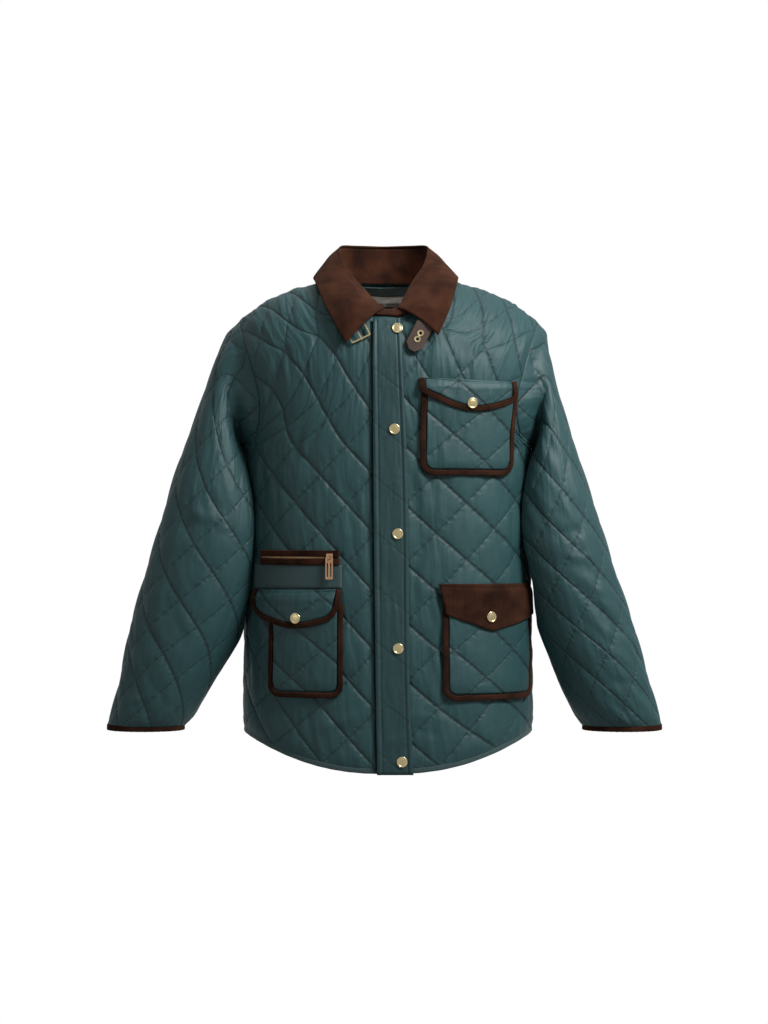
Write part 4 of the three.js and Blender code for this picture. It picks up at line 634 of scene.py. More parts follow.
def edge_fade(count_u, count_v, start=0.0, left=True, right=True, bottom=True, top=True, width=6):
    """Zero at the sewn edges of a grid and one inside."""
    u, v = np.arange(count_u), np.arange(count_v)
    fade_u = np.ones(count_u)
    fade_v = np.ones(count_v)
    if left:
        fade_u *= np.clip(u / width, start, 1)
    if right:
        fade_u *= np.clip(u[::-1] / width, start, 1)
    if bottom:
        fade_v *= np.clip(v / width, start, 1)
    if top:
        fade_v *= np.clip(v[::-1] / width, start, 1)
    fade = np.minimum.outer(fade_u, fade_v)
    return np.sin(fade * QUARTER)


def quilt_coordinates(count_u, count_v, times_u, times_v, period=4):
    u = np.arange(count_u) / times_u / period
    v = np.arange(count_v) / times_v / period
    return np.stack(np.meshgrid(u, v, indexing="ij"), axis=2)


# %% [markdown]
# The cloth is a dark teal satin-faced polyester. It is woven in fine plain weave, its sheen comes
# from the floating threads, and each stitched line draws it into many small puckers. All of that
# is worked out in the shader from the two UV maps, because it is finer than the relief.

# %% Shader building blocks
def add_node(tree, kind, **settings):
    node = tree.nodes.new(kind)
    inputs = settings.pop("inputs", {})
    for name, value in settings.items():
        setattr(node, name, value)
    for name, value in inputs.items():
        if isinstance(value, bpy.types.NodeSocket):
            tree.links.new(value, node.inputs[name])
        else:
            node.inputs[name].default_value = value
    return node


def math_node(tree, operation, a, b=None, c=None):
    inputs = {0: a}
    if b is not None:
        inputs[1] = b
    if c is not None:
        inputs[2] = c
    return add_node(tree, "ShaderNodeMath", operation=operation, inputs=inputs).outputs[0]


def mix_colour(tree, share, a, b, blend="MIX"):
    node = tree.nodes.new("ShaderNodeMix")
    node.data_type = "RGBA"
    node.blend_type = blend
    sockets = {"Factor": node.inputs[0], "A": node.inputs[6], "B": node.inputs[7]}
    for name, value in (("Factor", share), ("A", a), ("B", b)):
        if isinstance(value, bpy.types.NodeSocket):
            tree.links.new(value, sockets[name])
        else:
            sockets[name].default_value = value
    return node.outputs[2]


def new_group(name, inputs, outputs):
    group = bpy.data.node_groups.new(name, "ShaderNodeTree")
    for label, kind, value in inputs:
        socket = group.interface.new_socket(label, in_out="INPUT", socket_type=kind)
        if value is not None:
            socket.default_value = value
    for label, kind in outputs:
        group.interface.new_socket(label, in_out="OUTPUT", socket_type=kind)
    return group, group.nodes.new("NodeGroupInput"), group.nodes.new("NodeGroupOutput")


def use_group(tree, group, inputs):
    node = tree.nodes.new("ShaderNodeGroup")
    node.node_tree = group
    for name, value in inputs.items():
        if isinstance(value, bpy.types.NodeSocket):
            tree.links.new(value, node.inputs[name])
        else:
            node.inputs[name].default_value = value
    return node


VECTOR, FLOAT = "NodeSocketVector", "NodeSocketFloat"


def make_weave_group():
    """Plain weave: two sets of threads over and under each other, with uneven yarn."""
    group, start, end = new_group(
        "plain_weave",
        [("Cloth", VECTOR, None), ("Thread", FLOAT, 0.0005)],
        [("Height", FLOAT), ("Tone", FLOAT)],
    )
    split = add_node(group, "ShaderNodeSeparateXYZ", inputs={0: start.outputs["Cloth"]})
    pi = math.pi
    waves = []
    for axis in (0, 1):
        turns = math_node(group, "DIVIDE", split.outputs[axis], start.outputs["Thread"])
        waves.append(math_node(group, "SINE", math_node(group, "MULTIPLY", turns, pi)))
    over = math_node(group, "MULTIPLY", waves[0], waves[1])
    yarn = add_node(group, "ShaderNodeTexNoise", inputs={
        "Vector": start.outputs["Cloth"], "Scale": 900.0, "Detail": 2.0})
    uneven = math_node(group, "MULTIPLY_ADD", yarn.outputs["Fac"], 0.5, over)
    group.links.new(uneven, end.inputs["Height"])
    cloudy = add_node(group, "ShaderNodeTexNoise", inputs={
        "Vector": start.outputs["Cloth"], "Scale": 9.0, "Detail": 4.0})
    group.links.new(cloudy.outputs["Fac"], end.inputs["Tone"])
    return group


def make_quilt_group():
    """Stitches along both sets of quilting lines, the puckers that they draw up, and a valley share along
    each line that the material uses for painted shade and for a sunk bump.
    """
    group, start, end = new_group(
        "quilt_stitches",
        [("Quilt", VECTOR, None), ("Cloth", VECTOR, None), ("Period", FLOAT, 0.06)],
        [("Thread", FLOAT), ("Pucker", FLOAT), ("Valley", FLOAT)],
    )
    split = add_node(group, "ShaderNodeSeparateXYZ", inputs={0: start.outputs["Quilt"]})
    wander = add_node(group, "ShaderNodeTexNoise", inputs={
        "Vector": start.outputs["Cloth"], "Scale": 55.0, "Detail": 2.0})
    total = math_node(group, "ADD", split.outputs[0], split.outputs[1])
    rest = math_node(group, "SUBTRACT", split.outputs[0], split.outputs[1])
    parts = []
    for line, along, reach, weight in ((total, rest, 0.0038, 1.0), (rest, total, 0.0028, 0.6)):
        nearest = math_node(group, "PINGPONG", line, 0.5)
        apart = math_node(group, "MULTIPLY", nearest, start.outputs["Period"])
        on_line = add_node(group, "ShaderNodeMapRange", inputs={
            0: apart, 1: 0.0002, 2: 0.0005, 3: 1.0, 4: 0.0})
        stitch_turns = math_node(group, "MULTIPLY", along, 19.0)
        dash = math_node(group, "GREATER_THAN", math_node(group, "FRACT", stitch_turns), 0.28)
        thread = math_node(group, "MULTIPLY", on_line.outputs[0], dash)
        near = add_node(group, "ShaderNodeMapRange", interpolation_type="SMOOTHSTEP", inputs={
            0: apart, 1: 0.0, 2: 0.010, 3: 1.0, 4: 0.0})
        shaken = math_node(group, "MULTIPLY_ADD", wander.outputs["Fac"], 14.0,
                           math_node(group, "MULTIPLY", along, 26.0))
        ripple = math_node(group, "SINE", shaken)
        pucker = math_node(group, "MULTIPLY", ripple, near.outputs[0])
        valley = add_node(group, "ShaderNodeMapRange", interpolation_type="SMOOTHSTEP", inputs={
            0: apart, 1: 0.0, 2: reach, 3: 1.0, 4: 0.0})
        deep = math_node(group, "MULTIPLY", valley.outputs[0], weight)
        parts.append((thread, pucker, deep))
    for name, index, operation in (("Thread", 0, "MAXIMUM"), ("Pucker", 1, "ADD"),
                                   ("Valley", 2, "MAXIMUM")):
        joined = math_node(group, operation, parts[0][index], parts[1][index])
        group.links.new(joined, end.inputs[name])
    return group


def make_cord_group():
    """Corduroy: rounded wales with a soft nap, and a groove share between the wales that the material paints
    with shade.
    """
    group, start, end = new_group(
        "corduroy",
        [("Cloth", VECTOR, None), ("Wale", FLOAT, 0.0016)],
        [("Height", FLOAT), ("Groove", FLOAT), ("Nap", FLOAT)],
    )
    split = add_node(group, "ShaderNodeSeparateXYZ", inputs={0: start.outputs["Cloth"]})
    wobble = add_node(group, "ShaderNodeTexNoise", inputs={
        "Vector": start.outputs["Cloth"], "Scale": 60.0, "Detail": 2.0})
    shifted = math_node(group, "MULTIPLY_ADD", wobble.outputs["Fac"], 0.0006, split.outputs[0])
    turns = math_node(group, "DIVIDE", shifted, start.outputs["Wale"])
    wale = math_node(group, "ABSOLUTE", math_node(group, "SINE", math_node(
        group, "MULTIPLY", turns, math.pi)))
    rounded = math_node(group, "POWER", wale, 0.6)
    pile = add_node(group, "ShaderNodeTexNoise", inputs={
        "Vector": start.outputs["Cloth"], "Scale": 1500.0, "Detail": 3.0})
    group.links.new(math_node(group, "MULTIPLY_ADD", pile.outputs["Fac"], 0.5, rounded),
                    end.inputs["Height"])
    group.links.new(math_node(group, "SUBTRACT", 1.0, rounded), end.inputs["Groove"])
    nap = add_node(group, "ShaderNodeTexNoise", inputs={
        "Vector": start.outputs["Cloth"], "Scale": 28.0, "Detail": 4.0})
    group.links.new(nap.outputs["Fac"], end.inputs["Nap"])
    return group


WEAVE = make_weave_group()
QUILT = make_quilt_group()
CORD = make_cord_group()
print("shader groups", WEAVE.name, QUILT.name, CORD.name)


# %% Materials
def start_material(name):
    material = bpy.data.materials.new(name)
    material.use_nodes = True
    tree = material.node_tree
    tree.nodes.clear()
    shader = tree.nodes.new("ShaderNodeBsdfPrincipled")
    output = tree.nodes.new("ShaderNodeOutputMaterial")
    tree.links.new(shader.outputs[0], output.inputs[0])
    return material, tree, shader


def bump(tree, height, strength, distance, normal=None):
    inputs = {"Height": height, "Strength": strength, "Distance": distance}
    if normal is not None:
        inputs["Normal"] = normal
    return add_node(tree, "ShaderNodeBump", inputs=inputs).outputs[0]


def quilted_material(name, lit, shade, period, seen=1.0):
    material, tree, shader = start_material(name)
    cloth = add_node(tree, "ShaderNodeUVMap", uv_map="cloth").outputs[0]
    quilt = add_node(tree, "ShaderNodeUVMap", uv_map="quilt").outputs[0]
    weave = use_group(tree, WEAVE, {"Cloth": cloth, "Thread": 0.0005})
    lines = use_group(tree, QUILT, {"Quilt": quilt, "Cloth": cloth, "Period": period})
    tone = mix_colour(tree, weave.outputs["Tone"], (*shade, 1), (*lit, 1))
    # Painted shade: the valleys along the stitched lines are darkened towards a third of the shade colour,
    # besides the bump that sinks them.
    valley = math_node(tree, "MULTIPLY", lines.outputs["Valley"], 0.8 * seen)
    valley_painted_shade = mix_colour(tree, valley, tone, tuple(c * 0.3 for c in shade) + (1,))
    thread = math_node(tree, "MULTIPLY", lines.outputs["Thread"], 0.35 * seen)
    stitched = mix_colour(tree, thread, valley_painted_shade, tuple(c * 0.8 for c in lit) + (1,))
    tree.links.new(stitched, shader.inputs["Base Color"])
    rough = add_node(tree, "ShaderNodeMapRange", inputs={
        0: weave.outputs["Tone"], 1: 0.3, 2: 0.7, 3: 0.5, 4: 0.6})
    tree.links.new(rough.outputs[0], shader.inputs["Roughness"])
    shader.inputs["Sheen Weight"].default_value = 0.1
    shader.inputs["Sheen Roughness"].default_value = 0.4
    shader.inputs["Sheen Tint"].default_value = (0.55, 0.75, 0.78, 1)
    shader.inputs["Specular IOR Level"].default_value = 0.4
    rumple = add_node(tree, "ShaderNodeTexNoise", inputs={
        "Vector": cloth, "Scale": 34.0, "Detail": 3.0, "Roughness": 0.55})
    drawn = add_node(tree, "ShaderNodeMapping", inputs={"Vector": cloth, "Scale": (72.0, 15.0, 1.0)})
    crinkle = add_node(tree, "ShaderNodeTexNoise", inputs={
        "Vector": drawn.outputs[0], "Scale": 1.0, "Detail": 1.5, "Roughness": 0.45, "Distortion": 0.6})
    drawn_up = bump(tree, crinkle.outputs["Fac"], 0.5, 0.0045)
    first = bump(tree, rumple.outputs["Fac"], 0.25, 0.0035, drawn_up)
    dip = math_node(tree, "SUBTRACT", 1.0, lines.outputs["Valley"])
    sunk = bump(tree, dip, 0.55 * seen, 0.0012, first)
    second = bump(tree, lines.outputs["Pucker"], 0.22 * seen, 0.0011, sunk)
    third = bump(tree, weave.outputs["Height"], 0.25, 0.00015, second)
    tree.links.new(third, shader.inputs["Normal"])
    return material


def cord_material(name, lit, shade, wale=0.0016):
    material, tree, shader = start_material(name)
    cloth = add_node(tree, "ShaderNodeUVMap", uv_map="cloth").outputs[0]
    cord = use_group(tree, CORD, {"Cloth": cloth, "Wale": wale})
    brushing = add_node(tree, "ShaderNodeMapRange", inputs={
        0: cord.outputs["Nap"], 1: 0.36, 2: 0.64, 3: 0.0, 4: 1.0})
    nap = mix_colour(tree, brushing.outputs[0], (*shade, 1), (*lit, 1))
    # Painted shade: the grooves between the wales are darkened towards 0.4 of the shade colour.
    groove_shade_share = math_node(tree, "MULTIPLY", cord.outputs["Groove"], 0.95)
    colour = mix_colour(tree, groove_shade_share, nap, tuple(c * 0.4 for c in shade) + (1,))
    # Painted sheen: where the surface turns away from the view, the colour is lightened towards 1.7 times the
    # lit colour.
    facing = add_node(tree, "ShaderNodeLayerWeight", inputs={"Blend": 0.35}).outputs["Facing"]
    edge = math_node(tree, "MULTIPLY", facing, 0.2)
    brushed = mix_colour(tree, edge, colour, tuple(min(c * 1.7, 1) for c in lit) + (1,))
    tree.links.new(brushed, shader.inputs["Base Color"])
    shader.inputs["Roughness"].default_value = 0.9
    shader.inputs["Specular IOR Level"].default_value = 0.1
    shader.inputs["Sheen Weight"].default_value = 0.05
    shader.inputs["Sheen Roughness"].default_value = 0.5
    shader.inputs["Sheen Tint"].default_value = (0.75, 0.42, 0.28, 1)
    rumple = add_node(tree, "ShaderNodeTexNoise", inputs={"Vector": cloth, "Scale": 40.0, "Detail": 2.0})
    first = bump(tree, rumple.outputs["Fac"], 0.5, 0.003)
    second = bump(tree, cord.outputs["Height"], 0.7, 0.0005, first)
    tree.links.new(second, shader.inputs["Normal"])
    return material


def plain_material(name, colour, roughness, thread=0.0006):
    material, tree, shader = start_material(name)
    cloth = add_node(tree, "ShaderNodeUVMap", uv_map="cloth").outputs[0]
    weave = use_group(tree, WEAVE, {"Cloth": cloth, "Thread": thread})
    worn = mix_colour(tree, weave.outputs["Tone"], tuple(c * 0.7 for c in colour) + (1,), (*colour, 1))
    tree.links.new(worn, shader.inputs["Base Color"])
    shader.inputs["Roughness"].default_value = roughness
    shader.inputs["Sheen Weight"].default_value = 0.2
    tree.links.new(bump(tree, weave.outputs["Height"], 0.5, 0.0003), shader.inputs["Normal"])
    return material


def metal_material(name, colour, roughness, brushed):
    """Plated metal: fine brushing over the whole surface, and a dark film that comes and goes at random."""
    material, tree, shader = start_material(name)
    place = tree.nodes.new("ShaderNodeTexCoord").outputs["Object"]
    grain = add_node(tree, "ShaderNodeTexNoise", inputs={"Vector": place, "Scale": brushed, "Detail": 4.0})
    film = add_node(tree, "ShaderNodeTexNoise", inputs={"Vector": place, "Scale": 260.0, "Detail": 3.0})
    worn = mix_colour(tree, film.outputs["Fac"], tuple(c * 0.6 for c in colour) + (1,), (*colour, 1))
    tree.links.new(worn, shader.inputs["Base Color"])
    shader.inputs["Metallic"].default_value = 1.0
    rough = add_node(tree, "ShaderNodeMapRange", inputs={
        0: grain.outputs["Fac"], 1: 0.3, 2: 0.7, 3: roughness * 0.8, 4: roughness * 1.3})
    tree.links.new(rough.outputs[0], shader.inputs["Roughness"])
    tree.links.new(bump(tree, grain.outputs["Fac"], 0.15, 0.0001), shader.inputs["Normal"])
    return material


def leather_material(name, lit, shade):
    material, tree, shader = start_material(name)
    place = tree.nodes.new("ShaderNodeTexCoord").outputs["Object"]
    grain = add_node(tree, "ShaderNodeTexVoronoi", inputs={"Vector": place, "Scale": 1100.0})
    cloudy = add_node(tree, "ShaderNodeTexNoise", inputs={"Vector": place, "Scale": 70.0, "Detail": 4.0})
    colour = mix_colour(tree, cloudy.outputs["Fac"], (*shade, 1), (*lit, 1))
    tree.links.new(colour, shader.inputs["Base Color"])
    shader.inputs["Roughness"].default_value = 0.5
    tree.links.new(bump(tree, grain.outputs["Distance"], 0.5, 0.0003), shader.inputs["Normal"])
    return material


QUILT_PERIOD, WALE = 0.062, 0.0021
TEAL = quilted_material("quilted_cloth", (0.023, 0.078, 0.082), (0.015, 0.054, 0.059), QUILT_PERIOD)
TEAL_PLAIN = plain_material("plain_teal", (0.024, 0.066, 0.070), 0.6)
TEAL_STRIP = quilted_material("placket_teal", (0.017, 0.058, 0.062), (0.011, 0.040, 0.044), QUILT_PERIOD, 0.3)
TEAL_FACING = plain_material("facing_teal", (0.022, 0.055, 0.050), 0.7)
BROWN = cord_material("brown_cord", (0.072, 0.025, 0.012), (0.016, 0.005, 0.003), WALE)
BROWN_FINE = cord_material("brown_fine_cord", (0.060, 0.023, 0.012), (0.020, 0.007, 0.004), WALE)
BEIGE = plain_material("beige_lining", (0.80, 0.72, 0.62), 0.8)
LEATHER = leather_material("brown_leather", (0.062, 0.026, 0.014), (0.024, 0.010, 0.006))
PALE_GOLD = metal_material("pale_gold", (0.82, 0.68, 0.38), 0.28, 900.0)
COPPER = metal_material("copper", (0.70, 0.42, 0.24), 0.28, 700.0)
THREAD_BROWN = plain_material("brown_thread", (0.030, 0.013, 0.009), 0.7, 0.0004)
print("materials", len(bpy.data.materials))

# %% [markdown]
# The fronts, back and sleeves are diamond-quilted: two layers with wadding between them. The
# stitched lines pull flat and the diamonds puff out, and the whole hangs in soft creases, most
# of them where the arm bends and above and below the pockets.

# %% Quilted panels
PANEL_TIMES = 6
PUCKER_HEIGHT = 2.7
SEAM_ROWS = 5
# Columns: x, y, z of the middle, way x, y, z, half length, half width, height
FRONT_CREASES = [
    (60, -142, -330, 0.25, 0, 1, 60, 7, -1.8), (112, -136, -345, -0.2, 0.1, 1, 55, 7, 1.8),
    (150, -118, -372, 0.2, 0.1, 1, 48, 6, -1.8), (92, -140, -392, -0.12, 0, 1, 34, 6, 1.6),
    (-50, -142, -300, -0.15, 0, 1, 70, 8, -1.6), (-110, -134, -250, 0.3, 0, 1, 62, 8, -1.8),
    (-140, -122, -205, 0.55, 0.1, 1, 46, 7, 1.8), (145, -118, -300, 0.45, 0.1, 1, 40, 7, 1.6),
    (-92, -140, -622, 0.9, 0, 0.28, 52, 7, 1.8), (80, -146, -632, 1, 0, -0.12, 46, 6, -2.4),
    (66, -145, -610, 1, 0, -0.2, 36, 7, 1.8), (160, -112, -622, 0.6, 0.4, 0.4, 36, 7, 1.6),
    (-175, -92, -330, 0.1, 0.2, 1, 60, 8, -1.8), (-32, -144, -520, 0.08, 0, 1, 62, 7, 1.4),
    (120, -96, -75, 0.8, -0.3, -0.5, 46, 8, -1.6), (-128, -98, -80, 0.8, 0.3, 0.5, 46, 8, -1.6),
    (-155, -100, -135, 0.35, 0.1, 1, 38, 7, -1.8), (48, -141, -420, 0.3, 0, 1, 28, 6, 1.6),
]
BACK_CREASES = [
    (0, 144, -300, 0.1, 0, 1, 80, 9, -1.6), (70, 138, -350, -0.25, 0, 1, 66, 8, 1.8),
    (-80, 138, -280, 0.25, 0, 1, 70, 8, -1.8), (130, 120, -250, 0.5, 0.1, 1, 50, 8, 1.6),
    (-136, 118, -230, -0.5, 0.1, 1, 50, 8, 1.8), (50, 140, -560, 1, 0, 0.15, 60, 8, -1.6),
    (-70, 138, -610, 1, 0, -0.2, 52, 7, 1.8), (160, 95, -420, 0.1, 0, 1, 60, 8, -1.6),
    (-165, 92, -450, -0.1, 0, 1, 62, 8, 1.6), (110, 110, -95, 0.7, 0.2, 0.4, 46, 8, -1.6),
    (-112, 110, -95, 0.7, -0.2, -0.4, 46, 8, -1.6),
]


def half_grid(side, hand, times):
    half = HALVES[side, hand]
    points = np.array([[spot[0] for spot in column] for column in half])
    ghost = None
    if side == BACK:
        ghost = points[0] * 2 - points[1]
        mirrored = points[1] * np.array([-1, 1, 1])
        ghost[:NECK_ROW + 1] = mirrored[:NECK_ROW + 1]
    return resample(points, times, times, left_ghost=ghost)


def panel_surface(side, hand, rows):
    grid = half_grid(side, hand, PANEL_TIMES)
    count_u, count_v = grid.shape[:2]
    normals = outward(grid, grid_normals(grid), (0.3 * hand, side, 0))
    # The faces of the front and the back meet on one line along the shoulder.
    for row in range(SEAM_ROWS):
        normals[:, -1 - row, 1] *= row / SEAM_ROWS
    normals /= np.linalg.norm(normals, axis=2, keepdims=True)
    quilt = quilt_coordinates(count_u, count_v, PANEL_TIMES, PANEL_TIMES)
    folded = side == BACK
    fade = edge_fade(count_u, count_v, left=not folded)
    if folded:
        fade[0, NECK_ROW * PANEL_TIMES:] = 0
    inside = grid + normals * CLOTH_THICKNESS
    quilt[..., 0] *= hand * -side
    rise = QUILT_RISE * diamonds(quilt[..., 0], quilt[..., 1])
    cloth = cloth_uv(inside)
    lean = 0.12 * hand
    if folded:
        cloth[..., 0] *= hand
        lean = 0.12
    fine = creases(inside, rows) + rumples(cloth, 13.0, 52.0, PUCKER_HEIGHT, lean)
    depth = np.clip(rise + fine, 0.0, QUILT_RISE + 1.2)
    outer = inside + normals * (depth * fade)[..., None]
    return outer, quilt


def make_panel(name, side, hand, rows):
    outer, quilt = panel_surface(side, hand, rows)
    bm = grid_bmesh(outer, {"cloth": cloth_uv(outer), "quilt": quilt}, (0.3 * hand, side, 0))
    return finish_piece(name + "_cloth", bm, TEAL, replaces=[name],
                        wall=CLOTH_THICKNESS - 0.4)


front_right = make_panel("front_right", FRONT, RIGHT, FRONT_CREASES)
front_left = make_panel("front_left", FRONT, LEFT, FRONT_CREASES)
print("fronts", len(front_right.data.polygons), len(front_left.data.polygons))

# %% The back, one cloth with its two halves merged along the middle
def make_back():
    mesh = bpy.data.meshes.new("back_halves")
    whole = bmesh.new()
    for hand in (RIGHT, LEFT):
        outer, quilt = panel_surface(BACK, hand, BACK_CREASES)
        cloth = cloth_uv(outer)
        cloth[..., 0] *= hand
        part = grid_bmesh(outer, {"cloth": cloth, "quilt": quilt}, (0.3 * hand, 1, 0))
        part.to_mesh(mesh)
        part.free()
        whole.from_mesh(mesh)
    bpy.data.meshes.remove(mesh)
    bmesh.ops.remove_doubles(whole, verts=whole.verts, dist=0.0004)
    return finish_piece("back_cloth", whole, TEAL, replaces=["back"],
                        wall=CLOTH_THICKNESS - 0.4)


back = make_back()
print("back", len(back.data.polygons))

# %% Sleeves
SLEEVE_TIMES_AROUND, SLEEVE_TIMES_DOWN = 4, 6
SLEEVE_LOWEST, SLEEVE_HIGHEST = -1.5, 6.0
SLEEVE_SEAM_FADE = 14
SLEEVE_CREASES = {
    RIGHT: [
        (-330, -102, -400, 1, 0, 0.25, 42, 7, -2.6), (-318, -100, -380, 1, 0, 0.3, 38, 6, 2.2),
        (-300, -98, -350, 1, 0.1, 0.1, 36, 6, -2.2), (-262, -98, -330, 1, 0, -0.5, 34, 7, 2.0),
        (-350, -98, -455, 1, 0, 0.35, 36, 7, 2.2), (-300, -100, -470, 0.5, 0, -1, 46, 8, -2.0),
        (-250, -92, -260, 0.4, 0, 1, 46, 7, -2.2), (-240, -75, -180, 0.3, 0.2, 1, 42, 7, 2.0),
        (-330, -96, -560, 0.6, 0, -1, 46, 7, -2.0), (-360, -85, -590, 1, 0, 0.2, 26, 5, 1.8),
        (-330, 25, -400, 1, 0, 0.3, 42, 8, -2.2), (-300, 28, -350, 1, 0, -0.2, 40, 8, 2.0),
        (-350, 10, -520, 0.6, 0, -1, 46, 8, 1.8), (-220, -60, -150, 0.3, 0.3, 1, 36, 6, -1.8),
    ],
    LEFT: [
        (300, -101, -420, 1, 0, -0.45, 44, 7, -2.8), (318, -99, -450, 1, 0, -0.5, 40, 6, 2.4),
        (290, -100, -395, 1, 0, -0.2, 40, 6, 2.0), (270, -99, -350, 1, 0, 0.3, 36, 7, -2.2),
        (335, -96, -500, 1, 0, -0.6, 38, 7, -2.4), (320, -96, -530, 1, 0, -0.7, 40, 7, 2.2),
        (345, -90, -570, 1, 0, -0.3, 34, 6, -2.0), (230, -84, -240, -0.4, 0, 1, 46, 7, -2.2),
        (220, -62, -165, -0.25, 0.3, 1, 42, 7, 2.0), (310, -98, -480, -0.4, 0, -1, 44, 7, 1.8),
        (310, 26, -400, 1, 0, -0.3, 44, 8, -2.2), (290, 27, -350, 1, 0, 0.2, 40, 8, 2.0),
        (340, 10, -530, -0.6, 0, -1, 44, 8, 1.8), (250, -98, -300, 0.8, 0, -0.5, 34, 6, 1.8),
    ],
}


# The sleeve's cloth bunches under the arm and closes on the body there.
UNDERARM_FULLNESS = {
    RIGHT: (-207, -8, -250, 0.1, 0, 1, 30, 26, 6.0), LEFT: (207, -8, -240, -0.1, 0, 1, 26, 24, 4.0),
}


def sleeve_surface(hand):
    """The sleeve's inner face as closed rings, with its normals and quilting coordinates."""
    base = SLEEVES[hand]
    ring = resample(base, SLEEVE_TIMES_AROUND, SLEEVE_TIMES_DOWN, ring=True)
    normals = grid_normals(ring, ring=True)
    centre = ring[:-1].mean(axis=0)
    side_way = ring[0, 60] - centre[60]
    if np.dot(normals[0, 60], side_way) < 0:
        normals = -normals
    loop = armhole_loop(hand)
    first = np.array([spot[1] for spot in loop])
    first = resample(np.stack([first, first, first], axis=1), SLEEVE_TIMES_AROUND, 1, ring=True)[:, 0]
    for row in range(SLEEVE_TIMES_DOWN):
        share = row / SLEEVE_TIMES_DOWN
        normals[:, row] = first * (1 - share) + normals[:, row] * share
    normals[:, -1, 2] = 0
    normals /= np.linalg.norm(normals, axis=2, keepdims=True)
    count_u, count_v = ring.shape[:2]
    quilt = quilt_coordinates(count_u, count_v, SLEEVE_TIMES_AROUND, SLEEVE_TIMES_DOWN)
    quilt[..., 0] *= hand
    return ring, normals, quilt


def make_sleeve(name, hand):
    ring, normals, quilt = sleeve_surface(hand)
    count_u, count_v = ring.shape[:2]
    around = np.arange(count_u) / (count_u - 1)
    pressed = np.clip((-np.cos(2 * np.pi * around) - 0.2) / 0.5, 0, 1)
    fade = edge_fade(count_u, count_v, left=False, right=False, bottom=True, top=True)
    fade = fade * (1 - 0.75 * pressed)[:, None]
    inside = ring + normals * CLOTH_THICKNESS
    rise = QUILT_RISE * diamonds(quilt[..., 0], quilt[..., 1])
    fine = creases(inside, SLEEVE_CREASES[hand])
    fine = fine + rumples(cloth_uv(inside), 15.0, 40.0, PUCKER_HEIGHT, 0.5 * hand)
    fine *= np.clip((0.5 - np.abs(around - 0.5)) * SLEEVE_SEAM_FADE, 0, 1)[:, None]
    under = creases(inside, [UNDERARM_FULLNESS[hand]])
    depth = np.clip(rise + fine, SLEEVE_LOWEST, SLEEVE_HIGHEST) * fade + under
    outer = inside + normals * depth[..., None]
    middle = outer[count_u // 2, count_v // 2] - outer[:-1, count_v // 2].mean(axis=0)
    bm = grid_bmesh(outer, {"cloth": cloth_uv(outer), "quilt": quilt}, middle)
    bmesh.ops.remove_doubles(bm, verts=bm.verts, dist=0.00002)
    return finish_piece(name + "_cloth", bm, TEAL, replaces=[name],
                        wall=CLOTH_THICKNESS - 0.4)


sleeve_right = make_sleeve("sleeve_right", RIGHT)
sleeve_left = make_sleeve("sleeve_left", LEFT)
print("sleeves", len(sleeve_right.data.polygons), len(sleeve_left.data.polygons))

# %% [markdown]
# Bindings are folded strips round an edge: each is a soft rounded bar, a little uneven where the
# stitching draws it in.

# %% Bars along an edge
def bar_piece(name, stations, material, replaces, closed=False, round_steps=4, times=3,
              pucker=0.25, period=9.0, cord_along=True):
    """A rounded bar through stations of four corners: inner top, outer top, outer low, inner low."""
    corners = resample(np.array(stations), times, 1, ring=closed)
    along = np.linalg.norm(np.diff(corners.mean(axis=1), axis=0), axis=1)
    run = np.concatenate([[0], np.cumsum(along)])
    middle = corners.mean(axis=1, keepdims=True)
    profile = []
    for side in range(4):
        a, b = corners[:, side], corners[:, (side + 1) % 4]
        before = corners[:, side - 1]
        for step in range(round_steps):
            share = step / round_steps
            start = a + (before - a) * 0.16 * (1 - share) * (1 - share)
            profile.append(start * (1 - share) + b * share if share else
                           (a * 0.84 + before * 0.08 + b * 0.08))
    grid = np.stack(profile, axis=1)
    grid = np.concatenate([grid, grid[:, :1]], axis=1)
    wave = 1 + pucker * 0.12 * np.sin(run / period * 2 * np.pi + 0.8 * np.sin(run / 23.0))
    grid = middle + (grid - middle) * wave[:, None, None]
    ring = np.concatenate([[0], np.cumsum(np.linalg.norm(np.diff(grid[len(grid) // 2], axis=0), axis=1))])
    uv = np.stack(np.meshgrid(run, ring, indexing="ij"), axis=2) * MM
    if not cord_along:
        uv = uv[..., ::-1]
    bm = grid_bmesh(grid, {"cloth": uv, "quilt": uv * 10})
    bmesh.ops.remove_doubles(bm, verts=bm.verts, dist=0.00002)
    if not closed:
        rim = [edge for edge in bm.edges if edge.is_boundary]
        bmesh.ops.holes_fill(bm, edges=rim, sides=0)
    bmesh.ops.recalc_face_normals(bm, faces=bm.faces)
    return finish_piece(name, bm, material, replaces=replaces)


def edge_station(point, normal, height):
    top, bottom = Vector((0, 0, 2.2)), Vector((0, 0, -2 * SEAM_GAP - height))
    inner = point - normal * 0.8
    outer = point + normal * (CLOTH_THICKNESS + 0.8)
    return [inner + top, outer + top, outer + bottom, inner + bottom]


def hem_stations(side, hand):
    return [edge_station(*column[0], HEM_BINDING) for column in HALVES[side, hand]]


